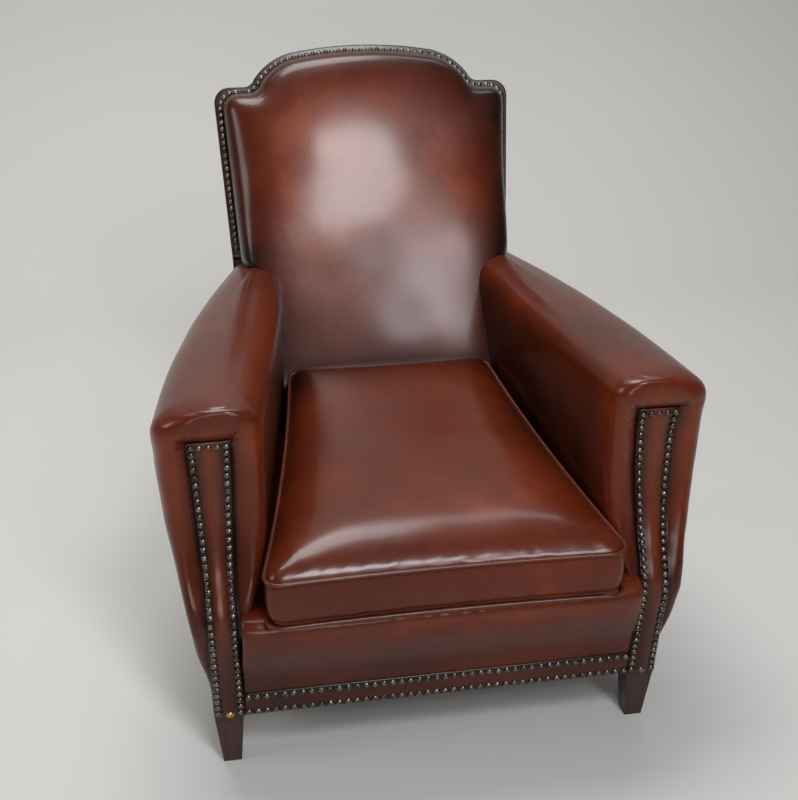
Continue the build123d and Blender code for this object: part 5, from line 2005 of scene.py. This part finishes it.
@dataclass
class SeatDeck:
    """Padded fixed seat under the loose cushion, and the cloth under the chair."""

    plan: Plan
    arm: Arm
    front: float = 34.2
    low: float = 225.5
    gap: float = 3.0
    rear_gap: float = 2.0
    corner_round: float = 6.0
    corner_points: int = 5
    point_counts: tuple[int, int, int, int] = (40, 40, 30, 40)
    tone: float = 0.2
    rows: tuple[tuple[float, float], ...] = (
        (12.0, 0.0), (0.0, 6.0), (0.0, 46.0), (1.0, 50.5), (4.0, 52.3), (10.0, 52.5),
        (40.0, 52.5), (90.0, 52.5),
    )
    sheet_rear_half: float = 195.0
    sheet_sag: float = 2.5
    sheet_thick: float = 0.5
    sheet_steps: int = 40

    def deck(self) -> bpy.types.Object:
        """Padded platform between the arms."""
        rear = float(self.plan.slab_y(self.plan.deck)) - self.rear_gap
        rings = []
        for inset, rise in self.rows:
            height = self.low + min(rise, self.plan.deck - self.low)
            front_x, rear_x = (
                float(self.arm.inner_surface(np.array(y), np.array(height))) - self.gap - inset
                for y in (self.front, rear)
            )
            corners = (
                (-front_x, self.front + inset),
                (front_x, self.front + inset),
                (rear_x, rear - inset),
                (-rear_x, rear - inset),
            )
            rounds = (self.corner_round,) * 4
            flat = rounded_quad(
                corners, rounds, (0.0,) * 4, self.point_counts, self.corner_points
            )
            rings.append(np.column_stack([flat, np.full(len(flat), height)]))
        return ring_piece("seat_platform", self.plan.metres(np.array(rings)), self.tone)

    def dust_sheet(self) -> bpy.types.Object:
        """Dark cloth tacked under the seat frame, sagging a little in its middle."""
        low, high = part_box("dust_cover")
        steps, rear_half = self.sheet_steps, self.sheet_rear_half * MM
        columns = []
        for row in range(steps + 1):
            t = row / steps
            y = low.y + (high.y - low.y) * t
            half = high.x + (rear_half - high.x) * t
            for column in range(steps + 1):
                u = 2 * column / steps - 1
                sag = self.sheet_sag * MM * (1 - u * u) * (1 - (2 * t - 1) ** 2)
                columns.append((half * u, y, low.z + self.sheet_thick * MM - sag))
        mesh = bpy.data.meshes.new("dust_sheet")
        mesh.from_pydata(columns, [], grid_faces(steps + 1, steps + 1, False))
        sheet = finish_mesh("dust_sheet", mesh)
        thick = sheet.modifiers.new("cloth", "SOLIDIFY")
        thick.thickness = self.sheet_thick * MM
        thick.offset = 0.0
        return plain_mesh(sheet, "dust_sheet")

    def build(self, finishes: Finishes) -> list[bpy.types.Object]:
        """Make the platform and the dust sheet."""
        deck = self.deck()
        parts = ["seat_deck_cover", "seat_deck_padding", "seat_hessian"]
        dress(deck, finishes.leather, Body.CHAIR, parts)
        sheet = self.dust_sheet()
        dress(sheet, finishes.dust, Body.CHAIR, ["dust_cover"])
        return [deck, sheet]


@dataclass
class CarriedNodes:
    """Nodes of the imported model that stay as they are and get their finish."""

    nodes: dict[str, bpy.types.Object]
    eased: float = 1.6 * MM
    weld_gap: float = 0.01 * MM

    def dress(self, finishes: Finishes) -> None:
        """Give every shown node its material."""
        for name, node in self.nodes.items():
            if node.hide_render:
                continue
            material = self.material_for(name, finishes)
            node.data.materials.clear()
            node.data.materials.append(material)
            if "foot" in name:
                self.ease_edges(node)

    @staticmethod
    def material_for(name: str, finishes: Finishes) -> bpy.types.Material:
        """Material of a node by its name."""
        if "foot" in name:
            return finishes.foot
        if "spring" in name or "screw" in name:
            return finishes.steel
        if "webbing" in name:
            return finishes.webbing
        return finishes.frame

    def ease_edges(self, node: bpy.types.Object) -> None:
        """Round the edges of a wooden node."""
        weld = node.modifiers.new("weld", "WELD")
        weld.merge_threshold = self.weld_gap
        bevel = node.modifiers.new("eased_edges", "BEVEL")
        bevel.width = self.eased
        bevel.segments = 3
        bevel.limit_method = "ANGLE"


# Studio


@dataclass(frozen=True)
class Lamp:
    """One soft area lamp aimed at a point."""

    name: str
    place: Triple
    aim: Triple
    width: float
    height: float
    power: float
    colour: Triple = (1.0, 1.0, 1.0)

    def build(self) -> None:
        """Add the lamp."""
        data = bpy.data.lights.new(self.name, "AREA")
        data.shape = "ELLIPSE"
        data.size, data.size_y = self.width, self.height
        data.energy = self.power
        data.color = self.colour
        lamp = linked(self.name, data)
        lamp.location = self.place
        way = Vector(self.aim) - Vector(self.place)
        lamp.rotation_euler = way.to_track_quat("-Z", "Y").to_euler()


@dataclass
class Studio:
    """Plain pale floor and backdrop, soft lamps and the camera."""

    place: Triple = (-0.26139, -1.62044, 1.20560)
    yaw: float = 9.2666
    pitch: float = 26.9635
    roll: float = 0.1321
    focal_share: float = 1110.06 / 800.0
    sensor: float = 36.0
    floor_front: float = -6.0
    floor_half: float = 7.0
    backdrop_foot: float = 1.3
    backdrop_round: float = 0.8
    backdrop_top: float = 5.0
    backdrop_steps: int = 12
    floor_colour: Triple = (0.52, 0.51, 0.49)
    floor_roughness: float = 0.9
    sky_colour: Triple = (0.86, 0.88, 0.92)
    sky_strength: float = 0.12
    lamps: tuple[Lamp, ...] = (
        Lamp("window", (0.26, -2.05, 2.85), (0.0, 0.2, 0.7), 0.7, 0.8, 40.0, (0.95, 0.97, 1.0)),
        Lamp("low_window", (0.8, -2.6, 2.3), (0.0, 0.2, 0.6), 0.55, 0.8, 24.0, (0.93, 0.96, 1.0)),
        Lamp("front_fill", (-0.6, -4.2, 1.3), (0.0, 0.0, 0.5), 2.4, 1.0, 30.0),
        Lamp("overhead", (-0.3, 0.5, 3.2), (0.0, -0.1, 0.4), 1.6, 1.0, 46.0),
        Lamp("left_fill", (-2.7, -0.5, 1.9), (0.0, 0.0, 0.4), 1.2, 1.2, 18.0),
        Lamp("backdrop_wash", (0.0, 1.2, 3.4), (0.0, 1.9, 0.6), 4.0, 0.6, 34.0),
    )

    def camera(self) -> None:
        """Camera at the photograph's viewing angle."""
        yaw, pitch, roll = (math.radians(a) for a in (self.yaw, self.pitch, self.roll))
        ahead = Vector(
            (math.sin(yaw) * math.cos(pitch), math.cos(yaw) * math.cos(pitch), -math.sin(pitch))
        )
        right = Vector((math.cos(yaw), -math.sin(yaw), 0.0))
        up = right.cross(ahead)
        across = right * math.cos(roll) + up * math.sin(roll)
        lift = up * math.cos(roll) - right * math.sin(roll)
        data = bpy.data.cameras.new("camera")
        data.sensor_width = self.sensor
        data.lens = self.focal_share * self.sensor
        camera = linked("camera", data)
        turn = Matrix((across, lift, -ahead)).transposed().to_4x4()
        camera.matrix_world = Matrix.Translation(Vector(self.place)) @ turn
        bpy.context.scene.camera = camera

    def floor(self) -> None:
        """Floor that turns up into a backdrop behind the chair."""
        foot, bend = self.backdrop_foot, self.backdrop_round
        profile = [(self.floor_front, 0.0), (foot, 0.0)]
        for step in range(1, self.backdrop_steps + 1):
            turn = 0.5 * math.pi * step / self.backdrop_steps
            profile.append((foot + bend * math.sin(turn), bend - bend * math.cos(turn)))
        profile.append((foot + bend, self.backdrop_top))
        half = self.floor_half
        vertices = [(x, y, z) for y, z in profile for x in (-half, half)]
        mesh = bpy.data.meshes.new("floor")
        mesh.from_pydata(vertices, [], grid_faces(len(profile), 2, False))
        for face in mesh.polygons:
            face.use_smooth = True
        floor = linked("floor", mesh)
        graph = MaterialGraph("studio_floor")
        colour = (*self.floor_colour, 1.0)
        mesh.materials.append(graph.surface(Base_Color=colour, Roughness=self.floor_roughness))

    def world(self) -> None:
        """Even pale surroundings."""
        world = bpy.data.worlds.new("studio")
        world.use_nodes = True
        background = world.node_tree.nodes["Background"]
        background.inputs["Color"].default_value = (*self.sky_colour, 1.0)
        background.inputs["Strength"].default_value = self.sky_strength
        bpy.context.scene.world = world

    def build(self) -> None:
        """Make the studio."""
        self.camera()
        self.floor()
        self.world()
        for lamp in self.lamps:
            lamp.build()
        bpy.context.scene.view_settings.view_transform = "Standard"


def main() -> None:
    """Build the chair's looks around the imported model."""
    logging.basicConfig(level=logging.INFO, format="%(name)s: %(message)s")
    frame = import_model()
    Studio().build()
    plan = Plan()
    finishes = Finishes()
    right_arm = Arm(plan, Side.RIGHT)
    makers: list[Callable[[Finishes], list[bpy.types.Object]]] = [
        right_arm.build,
        Arm(plan, Side.LEFT).build,
        FrontBorder(plan).build,
        Back(plan, right_arm).build,
        SeatDeck(plan, right_arm).build,
        SeatCushion(plan).build,
    ]
    for make in makers:
        for piece in make(finishes):
            LOG.info("%s: %d faces", piece.name, len(piece.data.polygons))
    CarriedNodes(frame["nodes"]).dress(finishes)


if __name__ == "__main__":
    main()
